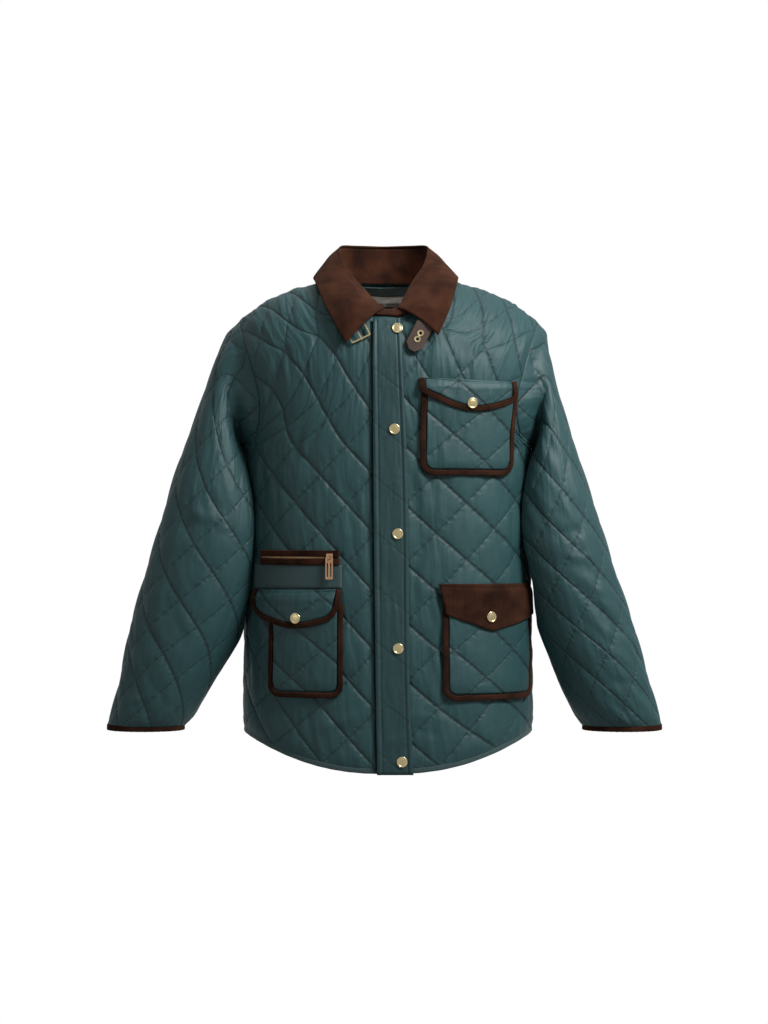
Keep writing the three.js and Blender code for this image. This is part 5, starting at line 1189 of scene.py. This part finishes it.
bar_piece("hem_binding_right_cloth", hem_stations(FRONT, RIGHT), TEAL_PLAIN,
          ["hem_binding_right"])
bar_piece("hem_binding_left_cloth", hem_stations(FRONT, LEFT), TEAL_PLAIN,
          ["hem_binding_left"])
back_hem = hem_stations(BACK, RIGHT)[::-1] + hem_stations(BACK, LEFT)[1:]
bar_piece("hem_binding_back_cloth", back_hem, TEAL_PLAIN, ["hem_binding_back"])
for hand, side_name in ((RIGHT, "right"), (LEFT, "left")):
    ring, normals, _ = sleeve_surface(hand)
    cuff = [edge_station(Vector(ring[k, -1]), Vector(normals[k, -1]), CUFF_BINDING)
            for k in range(0, len(ring) - 1, SLEEVE_TIMES_AROUND)]
    bar_piece("cuff_binding_" + side_name + "_cloth", cuff, BROWN,
              ["cuff_binding_" + side_name], closed=True)

# %% [markdown]
# Pieces laid on the front follow its form at a set rise. A flat piece is a grid of places in
# distance round and height, lifted off the body, with its edge turned down a little.

# %% Pieces laid on the front
def laid_surface(columns, rows, place, rise_at, times_u, times_v, lift=0.0):
    """Points on the front. `place` gives (round, z) for a column and a row, and `rise_at` the rise."""
    grid = []
    plan = []
    for i in range(columns + 1):
        line = []
        plan_line = []
        for j in range(rows + 1):
            distance, z = place(i / columns, j / rows)
            line.append(on_front(distance, z, rise_at(distance, z) + lift))
            plan_line.append((distance, z))
        grid.append(line)
        plan.append(plan_line)
    fine = resample(np.array(grid), times_u, times_v)
    plan_fine = resample(np.array(plan), times_u, times_v)
    return fine, plan_fine


def laid_piece(name, columns, rows, place, rise_at, thickness, material, replaces,
               times=(4, 4), quilted=0.0, rumple=(), cord_across=False, roll=0.35, pucker=0.0,
               welts=(), ledges=()):
    outer, plan = laid_surface(columns, rows, place, rise_at, *times, lift=thickness)
    normals = outward(outer, grid_normals(outer), (0, -1, 0))
    quilt = np.stack([plan[..., 0] / DIAMOND_WIDTH, plan[..., 1] / DIAMOND_HEIGHT], axis=2)
    fade = edge_fade(*outer.shape[:2], width=4)
    rise = quilted * diamonds(quilt[..., 0], quilt[..., 1]) * fade
    rise = rise + creases(outer, rumple) * fade - roll * (1 - edge_fade(*outer.shape[:2], width=2))
    if pucker:
        rise = rise + rumples(plan * MM, 11.0, 34.0, pucker) * fade
    share = np.linspace(0, 1, outer.shape[0])[:, None]
    for middle, half_width, height in welts:
        rise = rise + height * np.exp(-((share - middle) / half_width) ** 2)
    height_share = np.linspace(0, 1, outer.shape[1])[None, :]
    for middle, half_width, height in ledges:
        rise = rise + height * np.exp(-((height_share - middle) / half_width) ** 2)
    outer = outer + normals * rise[..., None]
    cloth = plan * MM
    if cord_across:
        cloth = cloth[..., ::-1]
    bm = grid_bmesh(outer, {"cloth": cloth, "quilt": quilt}, (0, -1, 0))
    piece = finish_piece(name, bm, material, replaces=replaces, wall=thickness - 0.3)
    return piece


PANEL_WALL = 2.2
# Columns: share across, half width, height. Each edge has a piped welt with a stitched groove beside it.
PLACKET_WELTS = [(0.07, 0.045, 0.9), (0.155, 0.022, -1.1), (0.93, 0.04, 0.9), (0.85, 0.022, -0.9)]


def placket_place(share, height):
    z = mix(HEM_MIDDLE_Z - 1, PLACKET_TOP_Z, height)
    x = mix(placket_seam_at(z), placket_edge_at(z), share)
    return round_from_x(FRONT, x, z), z


PLACKET_CREASES = [
    (5, -150, -640, 1, 0, 0.3, 20, 6, 0.9), (8, -150, -450, 1, 0, -0.2, 22, 7, -0.7),
    (5, -150, -160, 1, 0, 0.4, 22, 7, 0.8), (10, -150, -290, 1, 0, 0.2, 20, 7, 0.7),
]
laid_piece("placket_cloth", 6, 40, placket_place, lambda d, z: PANEL_TOP, PANEL_WALL, TEAL_STRIP,
           ["placket"], times=(8, 3), pucker=0.7, welts=PLACKET_WELTS,
           rumple=PLACKET_CREASES)


def zip_band(left, right, top, bottom):
    def place(share, height):
        return mix(left, right, share), mix(bottom, top, height)
    return place


laid_piece("zip_panel_cloth", 9, 3, zip_band(*ZIP_PANEL), lambda d, z: PANEL_TOP, 2.0, TEAL_PLAIN,
           ["zip_panel"])
laid_piece("zip_tape_cloth", 8, 2, zip_band(ZIP_LEFT, ZIP_RIGHT, ZIP_Z + TAPE_WIDTH / 2,
           ZIP_Z - TAPE_WIDTH / 2), lambda d, z: PANEL_TOP, 0.6, THREAD_BROWN, ["zip_tape"])
laid_piece("zip_welt_upper_cloth", 8, 2, zip_band(ZIP_LEFT, ZIP_RIGHT, ZIP_Z + ZIP_SLOT / 2 + WELT_HEIGHT,
           ZIP_Z + ZIP_SLOT / 2), lambda d, z: WELT_RISE, WELT_THICKNESS, BROWN,
           ["zip_welt_upper"], cord_across=True)
laid_piece("zip_welt_lower_cloth", 8, 2, zip_band(ZIP_LEFT, ZIP_RIGHT, ZIP_Z - ZIP_SLOT / 2,
           ZIP_Z - ZIP_SLOT / 2 - WELT_HEIGHT), lambda d, z: WELT_RISE, WELT_THICKNESS, BROWN,
           ["zip_welt_lower"], cord_across=True)

# Teeth stand in two rows in the slot between the welts, from its far end to the slider.
def make_teeth():
    whole = bmesh.new()
    count = int((SLIDER_ROUND - 6 - ZIP_LEFT - 4) / TOOTH_STEP)
    for k in range(count):
        distance = ZIP_LEFT + 4 + k * TOOTH_STEP
        z = ZIP_Z + (TOOTH_OFFSET if k % 2 else -TOOTH_OFFSET)
        spot, out = spot_at_height(FRONT, LEFT, distance, z)
        made = bmesh.ops.create_cube(whole, size=1.0)["verts"]
        across = out.cross(Vector((0, 0, 1))).normalized()
        basis = Matrix((across * TOOTH_SIZE[0], out.cross(across) * TOOTH_SIZE[1],
                        out * TOOTH_SIZE[2])).transposed().to_4x4()
        place = Matrix.Translation(spot + out * (PANEL_TOP + 1.1)) @ basis
        bmesh.ops.transform(whole, matrix=Matrix.Scale(MM, 4) @ place, verts=made)
    bmesh.ops.bevel(whole, geom=whole.edges[:], offset=0.15 * MM, segments=1, affect="EDGES",
                    profile=0.5, material=-1)
    return finish_piece("zip_teeth", whole, COPPER)


TOOTH_STEP, TOOTH_OFFSET, TOOTH_SIZE = 1.35, 0.45, (0.8, 1.9, 1.2)
make_teeth()
print("placket and zip bands made")

# %% Pocket outlines
def pocket_path(size):
    left, right, top, bottom, corner = size
    side_steps, bottom_steps = 4, 7
    turns = [math.radians(a) for a in (0, 30, 60, 90)]
    path = [(left, mix(top, bottom + corner, k / side_steps)) for k in range(side_steps)]
    path += [(left + corner * (1 - math.cos(t)), bottom + corner * (1 - math.sin(t))) for t in turns]
    path += [(mix(left + corner, right - corner, k / bottom_steps), bottom)
             for k in range(1, bottom_steps)]
    path += [(right - corner * (1 - math.cos(t)), bottom + corner * (1 - math.sin(t)))
             for t in reversed(turns)]
    path += [(right, mix(top, bottom + corner, k / side_steps)) for k in range(side_steps - 1, -1, -1)]
    return [Vector(stop) for stop in path]


def inset_path(path, width):
    moved = []
    last = len(path) - 1
    for k, stop in enumerate(path):
        arriving = stop - path[max(k - 1, 0)]
        leaving = path[min(k + 1, last)] - stop
        if k == 0:
            arriving = leaving.copy()
        if k == last:
            leaving = arriving.copy()
        arriving.normalize()
        leaving.normalize()
        mean = (arriving + leaving).normalized()
        miter = width / max(mean.dot(arriving), 0.5)
        moved.append(Vector((stop.x - mean.y * miter, stop.y + mean.x * miter)))
    return moved


def binding_piece(name, path, rise_at, thickness, replaces):
    inside = inset_path(path, BINDING_WIDTH)
    stations = [[on_front(a.x, a.y, rise_at(a.x, a.y)), on_front(a.x, a.y, rise_at(a.x, a.y) + thickness),
                 on_front(b.x, b.y, rise_at(a.x, a.y) + thickness), on_front(b.x, b.y, rise_at(a.x, a.y))]
                for a, b in zip(path, inside)]
    return bar_piece(name, stations, BROWN_FINE, [replaces], pucker=0.35, period=7.0)


def patch_piece(name, path, first, last, rows, rise_at, thickness, material, replaces,
                quilted=0.0, rumple=(), times=(4, 6), ledges=()):
    top_left, top_right = path[0], path[-1]
    lean_left, lean_right = top_left.x - path[first].x, top_right.x - path[last].x
    columns = last - first

    def place(share, height):
        index = share * columns
        k = min(int(index), columns - 1)
        stop = path[first + k].lerp(path[first + k + 1], index - k)
        across = (stop.x - path[first].x) / (path[last].x - path[first].x)
        top_x = stop.x + mix(lean_left, lean_right, across)
        return mix(stop.x, top_x, height), mix(stop.y, mix(top_left.y, top_right.y, across), height)

    return laid_piece(name, columns, rows, place, rise_at, thickness, material, replaces,
                      times=times, quilted=quilted, rumple=rumple, pucker=0.9 if quilted else 0.3,
                      ledges=ledges)


# %% [markdown]
# Each patch pocket is quilted cloth with a corduroy binding round its sides and bottom, and a flap
# with a press stud. The left hip flap is plain corduroy, and the other flaps are quilted and bound.

# %% Pockets and flaps
def flat_rise(distance, z):
    return PANEL_TOP


def make_pocket(name, size, rumple):
    path = pocket_path(size)
    inner = inset_path(path, BINDING_WIDTH + SEAM_GAP)
    patch_piece(name + "_cloth", inner, 4, len(path) - 5, 6, flat_rise, POCKET_THICKNESS, TEAL,
                [name], quilted=POCKET_RISE + 1.2, rumple=rumple)
    binding_piece(name + "_binding_cloth", path, flat_rise, BINDING_THICKNESS, name + "_binding")


# Columns: share up the flap, half width, height. A stitched ridge runs along the top of each flap.
FLAP_LEDGES = [(0.97, 0.025, 0.5), (0.9, 0.022, -1.0)]


def make_flap(name, edge, bound, material, rumple, quilted=0.0):
    top = max(edge[0][1], edge[-1][1])

    def rise_at(distance, z):
        return mix(PANEL_TOP, FLAP_RISE, ease(top - z, 0, 13))

    side = []
    for k, stop in enumerate(edge):
        following = edge[k + 1] if k + 1 < len(edge) else None
        side.append(Vector(stop))
        if following and math.hypot(following[0] - stop[0], following[1] - stop[1]) > 17:
            side += [Vector(stop).lerp(Vector(following), part / 3) for part in (1, 2)]
    path = inset_path(side, BINDING_WIDTH + SEAM_GAP) if bound else side
    last = len(side) - 1
    first_low = next(k for k in range(1, last) if side[k + 1].x - side[k].x > 6)
    last_low = next(k for k in range(last - 1, 0, -1) if side[k].x - side[k - 1].x > 6)
    patch_piece(name + "_cloth", path, first_low, last_low, 6, rise_at, FLAP_THICKNESS, material,
                [name], quilted=quilted, rumple=rumple, ledges=FLAP_LEDGES)
    if bound:
        binding_piece(name + "_binding_cloth", side, rise_at, FLAP_BINDING_THICKNESS, name + "_binding")


make_pocket("chest_pocket", CHEST_POCKET, [(80, -140, -235, 0.3, 0, 1, 34, 7, 1.0),
                                            (140, -128, -225, -0.4, 0, 1, 36, 7, -1.2)])
make_pocket("left_hip_pocket", LEFT_HIP_POCKET, [(110, -140, -540, 0.3, 0, 1, 36, 8, 1.1),
                                                  (160, -115, -550, -0.2, 0, 1, 36, 8, -1.2)])
make_pocket("right_hip_pocket", RIGHT_HIP_POCKET, [(-100, -142, -530, 0.3, 0, 1, 36, 7, 1.1),
                                                    (-130, -135, -545, -0.3, 0, 1, 32, 7, -1.1)])
make_flap("chest_flap", CHEST_FLAP_EDGE, True, TEAL,
          [(70, -138, -168, 1, 0, -0.4, 22, 5, 0.8), (150, -122, -165, 1, 0, 0.3, 22, 5, 0.8)], 0.9)
make_flap("left_hip_flap", LEFT_HIP_FLAP_EDGE, False, BROWN_FINE,
          [(100, -145, -455, 1, 0, 0.15, 34, 6, 0.7), (180, -105, -455, 1, 0, 0.1, 30, 6, -0.7)])
make_flap("right_hip_flap", RIGHT_HIP_FLAP_EDGE, True, TEAL,
          [(-95, -142, -460, 1, 0, 0.4, 22, 5, 0.8), (-160, -118, -460, 1, 0, -0.3, 22, 5, 0.8)], 0.9)
print("pockets made")


# %% [markdown]
# The collar is corduroy in two parts: a stand round the neck and a leaf that rolls over at the
# fold and lies on the shoulders, with pointed fronts.

# %% Collar
FOLD_POINTS = [Vector(stop) for stop in FOLD_STOPS]


def collar_shift(share):
    return mix(COLLAR_SHIFT_FRONT, COLLAR_SHIFT_BACK, ease(share, 0, 0.4))


def fold_at(hand, share):
    point = curve_point(FOLD_POINTS, share)
    return Vector((hand * point.x + collar_shift(share), point.y, point.z))


def neck_outward(point):
    return Vector((point.x, point.y + 22, 0)).normalized()


def fold_share(point):
    angle = math.asin(clamp(abs(point.x) / NECK_HALF_WIDTH, 0, 1))
    start = 1 if point.y > RING_MIDDLE_Y else 0
    return mix(start, 0.643, angle / QUARTER)


def neck_stations():
    def edge(side, hand, row):
        return [HALVES[side, hand][0][row][0].copy(), HALVES[side, hand][0][row][1].copy()]

    def blend(a, b):
        return [a[0].lerp(b[0], 0.5), (a[1] + b[1]).normalized()]

    slit_row = NECK_ROW + 2
    stations = [edge(FRONT, LEFT, row) for row in range(slit_row, PANEL_ROWS)]
    stations.append(blend(edge(FRONT, LEFT, PANEL_ROWS), edge(BACK, LEFT, PANEL_ROWS)))
    stations += [edge(BACK, LEFT, row) for row in range(PANEL_ROWS - 1, NECK_ROW, -1)]
    stations.append(blend(edge(BACK, LEFT, NECK_ROW), edge(BACK, RIGHT, NECK_ROW)))
    stations += [edge(BACK, RIGHT, row) for row in range(NECK_ROW + 1, PANEL_ROWS)]
    stations.append(blend(edge(BACK, RIGHT, PANEL_ROWS), edge(FRONT, RIGHT, PANEL_ROWS)))
    stations += [edge(FRONT, RIGHT, row) for row in range(PANEL_ROWS - 1, NECK_ROW, -1)]
    stations.append(blend(edge(FRONT, RIGHT, NECK_ROW), edge(FRONT, LEFT, NECK_ROW)))
    stations += [edge(FRONT, LEFT, row) for row in range(NECK_ROW + 1, slit_row + 1)]
    last = len(stations) - 1
    for k, station in enumerate(stations):
        along = (stations[min(k + 1, last)][0] - stations[max(k - 1, 0)][0]).normalized()
        inward = along.cross(station[1]).normalized()
        if inward.dot(Vector((0, -20, 30)) - station[0]) < 0:
            inward.negate()
        station += [inward, along]
    return stations


def stand_top(point):
    middle = 20
    if abs(point.x) < middle and point.y < 0:
        share = fold_share(Vector((middle, point.y, 0)))
        top = fold_at(RIGHT, share).lerp(fold_at(LEFT, share), (point.x + middle) / (2 * middle))
        top.z -= 3 * (1 - abs(point.x) / middle)
        return top
    return fold_at(RIGHT if point.x < 0 else LEFT, fold_share(point))


def make_stand():
    stations = neck_stations()
    last = len(stations) - 1
    lines = []
    for k, (point, normal, away, along) in enumerate(stations):
        slit = along * (SEAM_GAP if k == 0 else -SEAM_GAP if k == last else 0)
        base = point + away * (3.5 * SEAM_GAP) + slit
        top = stand_top(point) + slit
        over = point + away * (2 * SEAM_GAP + STAND_TURN) + normal * STAND_LIFT
        outer = [base + normal * STAND_THICKNESS]
        outer += [p + neck_outward(p) * STAND_THICKNESS for p in (over, over.lerp(top, 0.5), top)]
        lines.append(outer)
    outer = resample(np.array(lines), 5, 7)
    bm = grid_bmesh(outer, {"cloth": cloth_uv(outer), "quilt": cloth_uv(outer)})
    bm.faces.ensure_lookup_table()
    middle = bm.faces[len(bm.faces) // 2]
    if middle.normal.dot(neck_outward(middle.calc_center_median() / MM)) < 0:
        bmesh.ops.reverse_faces(bm, faces=bm.faces)
    return finish_piece("collar_stand_cloth", bm, BROWN, replaces=["collar_stand"],
                        wall=STAND_THICKNESS - 0.2)


def leaf_edge(hand):
    points = []
    for k, (side, stop_x, stop_z, rise) in enumerate(LEAF_EDGE_STOPS):
        x = abs(stop_x + (LEAF_TIP_SHIFT * hand if k == 0 else 0))
        z = stop_z + (hand * LEAF_TIP_SHIFT if k == 0 else 0)
        point = lifted(spot_at_height(side, hand, round_from_x(side, x, z), z), rise)
        if k:
            point.x += collar_shift(k / (len(LEAF_EDGE_STOPS) - 1)) * 0.5
        points.append(point)
    return points


def make_leaf():
    half, rows = 12, 4
    edges = {hand: leaf_edge(hand) for hand in (RIGHT, LEFT)}
    lines, folds = [], []
    for k in range(-half, half + 1):
        hand = RIGHT if k < 0 else LEFT
        share = 1 - abs(k) / half
        fold = fold_at(hand, share)
        edge = curve_point(edges[hand], share)
        outward_way = neck_outward(fold)
        start = fold + outward_way * (STAND_THICKNESS + 2 * SEAM_GAP)
        start.z += LEAF_LIFT
        bulge = Vector((outward_way.x, outward_way.y, 0.7)).normalized() * LEAF_BULGE
        control = start.lerp(edge, 0.4) + bulge

        def curve(t):
            return start * (1 - t) ** 2 + control * (2 * t * (1 - t)) + edge * t ** 2

        lines.append([curve(t) for t in even_shares(curve, rows)])
        folds.append(fold + Vector((0, 0, LEAF_THICKNESS + LEAF_LIFT)))
    inner = np.array(lines)
    normals = grid_normals(inner)
    towards = np.array([[neck_outward(Vector(p)) + Vector((0, 0, 0.5)) for p in line] for line in inner])
    flip = np.sign(np.sum(normals * towards, axis=2, keepdims=True))
    outer = inner + normals * flip * LEAF_THICKNESS
    outer[:, 0] = np.array(folds)
    fine = resample(outer, 6, 12)
    fine_normals = grid_normals(fine)
    fine_flip = np.sign(np.sum(fine_normals * resample(towards, 6, 12), axis=2, keepdims=True))
    fade = edge_fade(*fine.shape[:2], width=4)
    soft = creases(fine, [
        (-78, -118, -60, 1, 0, 0.6, 22, 5, 0.9), (72, -118, -58, 1, 0, -0.6, 22, 5, 0.9),
        (-88, -50, 0, 0.2, 1, 0.2, 26, 6, -0.9), (86, -50, 2, -0.2, 1, 0.2, 26, 6, -0.9),
        (0, 82, 10, 1, 0, 0, 40, 7, 0.8)])
    roll = 0.5 * (1 - edge_fade(*fine.shape[:2], top=True, bottom=False, width=3))
    fine = fine + fine_normals * fine_flip * (soft * fade - roll)[..., None]
    uv = cloth_uv(fine)
    bm = grid_bmesh(fine, {"cloth": uv, "quilt": uv})
    bm.normal_update()
    bm.faces.ensure_lookup_table()
    middle = bm.faces[len(bm.faces) // 2]
    if middle.normal.dot(neck_outward(middle.calc_center_median() / MM)) < 0:
        bmesh.ops.reverse_faces(bm, faces=bm.faces)
    return finish_piece("collar_leaf_cloth", bm, BROWN, replaces=["collar_leaf"],
                        wall=LEAF_THICKNESS - 0.2)


stand = make_stand()
leaf = make_leaf()
print("collar", len(stand.data.polygons), len(leaf.data.polygons))


# %% [markdown]
# Inside the back of the neck a plain facing covers the seam of the collar, with a strip of the
# beige lining below it. Both lie on the back's inner face.

# %% Neck facing and lining
NECK_STRIP_COLUMNS, NECK_STRIP_RISE, NECK_STRIP_HALF_WIDTH = 16, -5.9, 56.0


def neck_strip(name, start, end, material):
    lines = []
    for k in range(NECK_STRIP_COLUMNS + 1):
        x = mix(-NECK_STRIP_HALF_WIDTH, NECK_STRIP_HALF_WIDTH, k / NECK_STRIP_COLUMNS)
        turned = math.cos(math.asin(x / NECK_HALF_WIDTH))
        neck_z = SIDE_NECK_Z - (SIDE_NECK_Z - NECK_MIDDLE_Z[BACK]) * turned
        distance = round_from_x(BACK, abs(x), neck_z)
        girth = girth_at(BACK, distance, neck_z)
        hand = RIGHT if x < 0 else LEFT
        lines.append([lifted(body_spot(BACK, hand, distance, girth + depth), NECK_STRIP_RISE)
                      for depth in np.linspace(start, end, 4)])
    inner_face = resample(np.array(lines), 4, 4)
    uv = cloth_uv(inner_face)
    bm = grid_bmesh(inner_face, {"cloth": uv, "quilt": uv}, (0, -0.5, -1))
    return finish_piece(name + "_cloth", bm, material, replaces=[name], wall=1.0)


neck_strip("neck_facing", -5.0, 20.0, TEAL_FACING)
neck_strip("neck_lining", 20.4, 46.0, BEIGE)

# %% [markdown]
# Press studs are pressed metal caps: a rolled rim, a groove and a slightly domed middle. Each is
# spun from its profile. Hard pieces that keep their CAD shape get their finish here.

# %% Hard pieces
def front_frame(distance, z, rise):
    point, out = spot_at_height(FRONT, LEFT, distance, z)
    across = out.cross(Vector((0, 0, 1))).normalized()
    if across.x < 0:
        across.negate()
    up = out.cross(across).normalized()
    basis = Matrix((across, up, out)).transposed().to_4x4()
    return Matrix.Translation(point + out * rise) @ basis


def spun_piece(name, profile, frame_matrix, material, replaces, steps=40):
    bm = bmesh.new()
    verts = [bm.verts.new(Vector((radius, 0, height))) for radius, height in profile]
    edges = [bm.edges.new(pair) for pair in zip(verts, verts[1:])]
    bmesh.ops.spin(bm, geom=verts + edges, cent=(0, 0, 0), axis=(0, 0, 1), angle=2 * math.pi,
                   steps=steps, use_merge=True)
    bmesh.ops.remove_doubles(bm, verts=bm.verts, dist=0.0005)
    bmesh.ops.recalc_face_normals(bm, faces=bm.faces)
    bm.transform(Matrix.Scale(MM, 4) @ frame_matrix)
    for face in bm.faces:
        face.smooth = True
    return finish_piece(name, bm, material, replaces=[replaces])


SNAP_PROFILE = [
    (0.0, 0.0), (6.9, 0.0), (7.3, 0.15), (7.5, 0.6), (7.45, 1.1), (7.1, 1.6), (6.6, 1.85), (6.1, 1.8),
    (5.7, 1.5), (5.45, 1.25), (5.1, 1.25), (4.6, 1.42), (3.2, 1.62), (1.6, 1.7), (0.0, 1.72),
]
PLACKET_SNAPS = [(11, -80), (8.5, -215), (13, -358), (13.5, -514), (18.5, -668)]
for number, (distance, z) in enumerate(PLACKET_SNAPS, 1):
    name = "placket_snap_%d" % number
    spun_piece(name + "_cap", SNAP_PROFILE, front_frame(distance, z, PANEL_TOP + 2.2 + SEAM_GAP),
               PALE_GOLD, name)
FLAP_SNAPS = [("chest_snap", 109, -179, 2.8), ("left_hip_snap", 138.5, -472, 2.0),
              ("right_hip_snap", -123, -473.5, 2.8)]
for name, distance, z, under in FLAP_SNAPS:
    spun_piece(name + "_cap", SNAP_PROFILE, front_frame(distance, z, FLAP_RISE + under + SEAM_GAP),
               PALE_GOLD, name)


def keep_cad(node, material, bevel=0.25):
    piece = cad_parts[node]
    piece.data.materials.clear()
    piece.data.materials.append(material)
    soften = piece.modifiers.new("soften", "BEVEL")
    soften.width = bevel * MM
    soften.segments = 2
    soften.limit_method = "ANGLE"


for node in ("buckle_frame", "buckle_prong"):
    keep_cad(node, PALE_GOLD)
for node in ("strap_eyelet_1", "strap_eyelet_2"):
    keep_cad(node, PALE_GOLD, 0.1)
for node in ("zip_slider", "zip_pull_tab"):
    keep_cad(node, COPPER, 0.2)


# The two ends of the collar strap: the forms of their solids, with pressed and rounded edges.
def strap_piece(node, bevel):
    bm = bmesh.new()
    bm.from_mesh(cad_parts[node].data)
    bmesh.ops.remove_doubles(bm, verts=bm.verts, dist=0.00002)
    bmesh.ops.dissolve_limit(bm, angle_limit=math.radians(6), verts=bm.verts, edges=bm.edges)
    rims = [edge for edge in bm.edges if edge.is_manifold and edge.calc_face_angle() > math.radians(50)]
    bmesh.ops.bevel(bm, geom=rims, offset=bevel * MM, segments=3, affect="EDGES", profile=0.5,
                    material=-1, clamp_overlap=True)
    bmesh.ops.triangulate(bm, faces=[face for face in bm.faces if len(face.verts) > 4])
    bmesh.ops.recalc_face_normals(bm, faces=bm.faces)
    return finish_piece(node + "_leather", bm, LEATHER, replaces=[node])


strap_piece("strap_buckle_end", 0.35)
strap_piece("strap_tab_end", 0.45)
print("hard pieces finished")

# %% [markdown]
# Each cloth piece is declared with the flat size it was cut to, measured on its own surface.
# The table below also lists what each is sewn to or lies on.

# %% Cut sizes
SEWN_TO = {
    "front_right_cloth": ("hung", ["back_cloth"]),
    "front_left_cloth": ("hung", ["back_cloth"]),
    "back_cloth": ("hung", ["front_right_cloth", "front_left_cloth"]),
    "sleeve_right_cloth": ("hung", ["front_right_cloth", "back_cloth"]),
    "sleeve_left_cloth": ("hung", ["front_left_cloth", "back_cloth"]),
    "collar_stand_cloth": ("folded", ["front_right_cloth", "front_left_cloth", "back_cloth"]),
    "collar_leaf_cloth": ("folded", ["collar_stand_cloth"]),
    "neck_facing_cloth": ("laid", ["back_cloth"]),
    "neck_lining_cloth": ("laid", ["back_cloth"]),
    "placket_cloth": ("laid", ["front_right_cloth", "front_left_cloth"]),
    "hem_binding_right_cloth": ("folded", ["front_right_cloth"]),
    "hem_binding_left_cloth": ("folded", ["front_left_cloth"]),
    "hem_binding_back_cloth": ("folded", ["back_cloth"]),
    "cuff_binding_right_cloth": ("folded", ["sleeve_right_cloth"]),
    "cuff_binding_left_cloth": ("folded", ["sleeve_left_cloth"]),
    "chest_pocket_cloth": ("laid", ["front_left_cloth"]),
    "chest_pocket_binding_cloth": ("folded", ["chest_pocket_cloth"]),
    "chest_flap_cloth": ("laid", ["chest_pocket_cloth"]),
    "chest_flap_binding_cloth": ("folded", ["chest_flap_cloth"]),
    "left_hip_pocket_cloth": ("laid", ["front_left_cloth"]),
    "left_hip_pocket_binding_cloth": ("folded", ["left_hip_pocket_cloth"]),
    "left_hip_flap_cloth": ("laid", ["left_hip_pocket_cloth"]),
    "right_hip_pocket_cloth": ("laid", ["front_right_cloth"]),
    "right_hip_pocket_binding_cloth": ("folded", ["right_hip_pocket_cloth"]),
    "right_hip_flap_cloth": ("laid", ["right_hip_pocket_cloth"]),
    "right_hip_flap_binding_cloth": ("folded", ["right_hip_flap_cloth"]),
    "zip_panel_cloth": ("laid", ["front_right_cloth"]),
    "zip_tape_cloth": ("laid", ["front_right_cloth"]),
    "zip_welt_upper_cloth": ("folded", ["zip_tape_cloth"]),
    "zip_welt_lower_cloth": ("folded", ["zip_tape_cloth"]),
}
for piece_name, (held, rests_on) in SEWN_TO.items():
    declare_sheet(bpy.data.objects[piece_name])
for row in SHEETS:
    print("cut", *row)

# %% [markdown]
# The camera stands where the photograph was taken, level with the middle of the jacket. The light
# is a large soft key from the upper right, a weaker fill and a small lamp that reaches into the
# neck, before a plain white ground.

# %% Camera and light
CAMERA_PLACE, CAMERA_ANGLE = (-5.7, -3500, -328), 23.47
camera_data = bpy.data.cameras.new("camera")
camera = bpy.data.objects.new("camera", camera_data)
bpy.context.scene.collection.objects.link(camera)
camera_data.sensor_fit = "VERTICAL"
camera_data.angle_y = math.radians(CAMERA_ANGLE)
camera.location = Vector(CAMERA_PLACE) * MM
camera.rotation_euler = (QUARTER, 0, 0)
bpy.context.scene.camera = camera

def area_light(name, place, target, size, power, spread=math.pi):
    data = bpy.data.lights.new(name, "AREA")
    data.shape = "RECTANGLE"
    data.size, data.size_y = size
    data.energy = power
    data.spread = spread
    light = bpy.data.objects.new(name, data)
    bpy.context.scene.collection.objects.link(light)
    light.location = place
    light.rotation_euler = (Vector(target) - Vector(place)).to_track_quat("-Z", "Y").to_euler()
    return light


area_light("key", (1.35, -1.15, 1.2), (0.05, 0, -0.25), (0.7, 0.7), 62)
area_light("fill", (-2.4, -2.4, 0.4), (0, 0, -0.35), (1.6, 1.6), 6)
area_light("top", (0.2, 0.5, 2.2), (0, 0, -0.3), (1.2, 1.2), 10)
area_light("neck", (0.02, -1.6, 0.42), (0.005, 0.06, -0.035), (0.12, 0.12), 0.024, math.radians(3))
world = bpy.data.worlds.new("studio")
world.use_nodes = True
bpy.context.scene.world = world
paper = world.node_tree.nodes["Background"]
paper.inputs[0].default_value = (1, 1, 1, 1)
# The camera sees a white ground, and the cloth sees a dim one.
seen = world.node_tree.nodes.new("ShaderNodeLightPath").outputs["Is Camera Ray"]
glossy = world.node_tree.nodes.new("ShaderNodeLightPath").outputs["Is Glossy Ray"]
shine = math_node(world.node_tree, "MULTIPLY_ADD", glossy, 0.35, 0.14)
glow = math_node(world.node_tree, "MAXIMUM", shine, seen)
world.node_tree.links.new(glow, paper.inputs[1])
bpy.context.scene.view_settings.view_transform = "Standard"
print("camera and lights set")
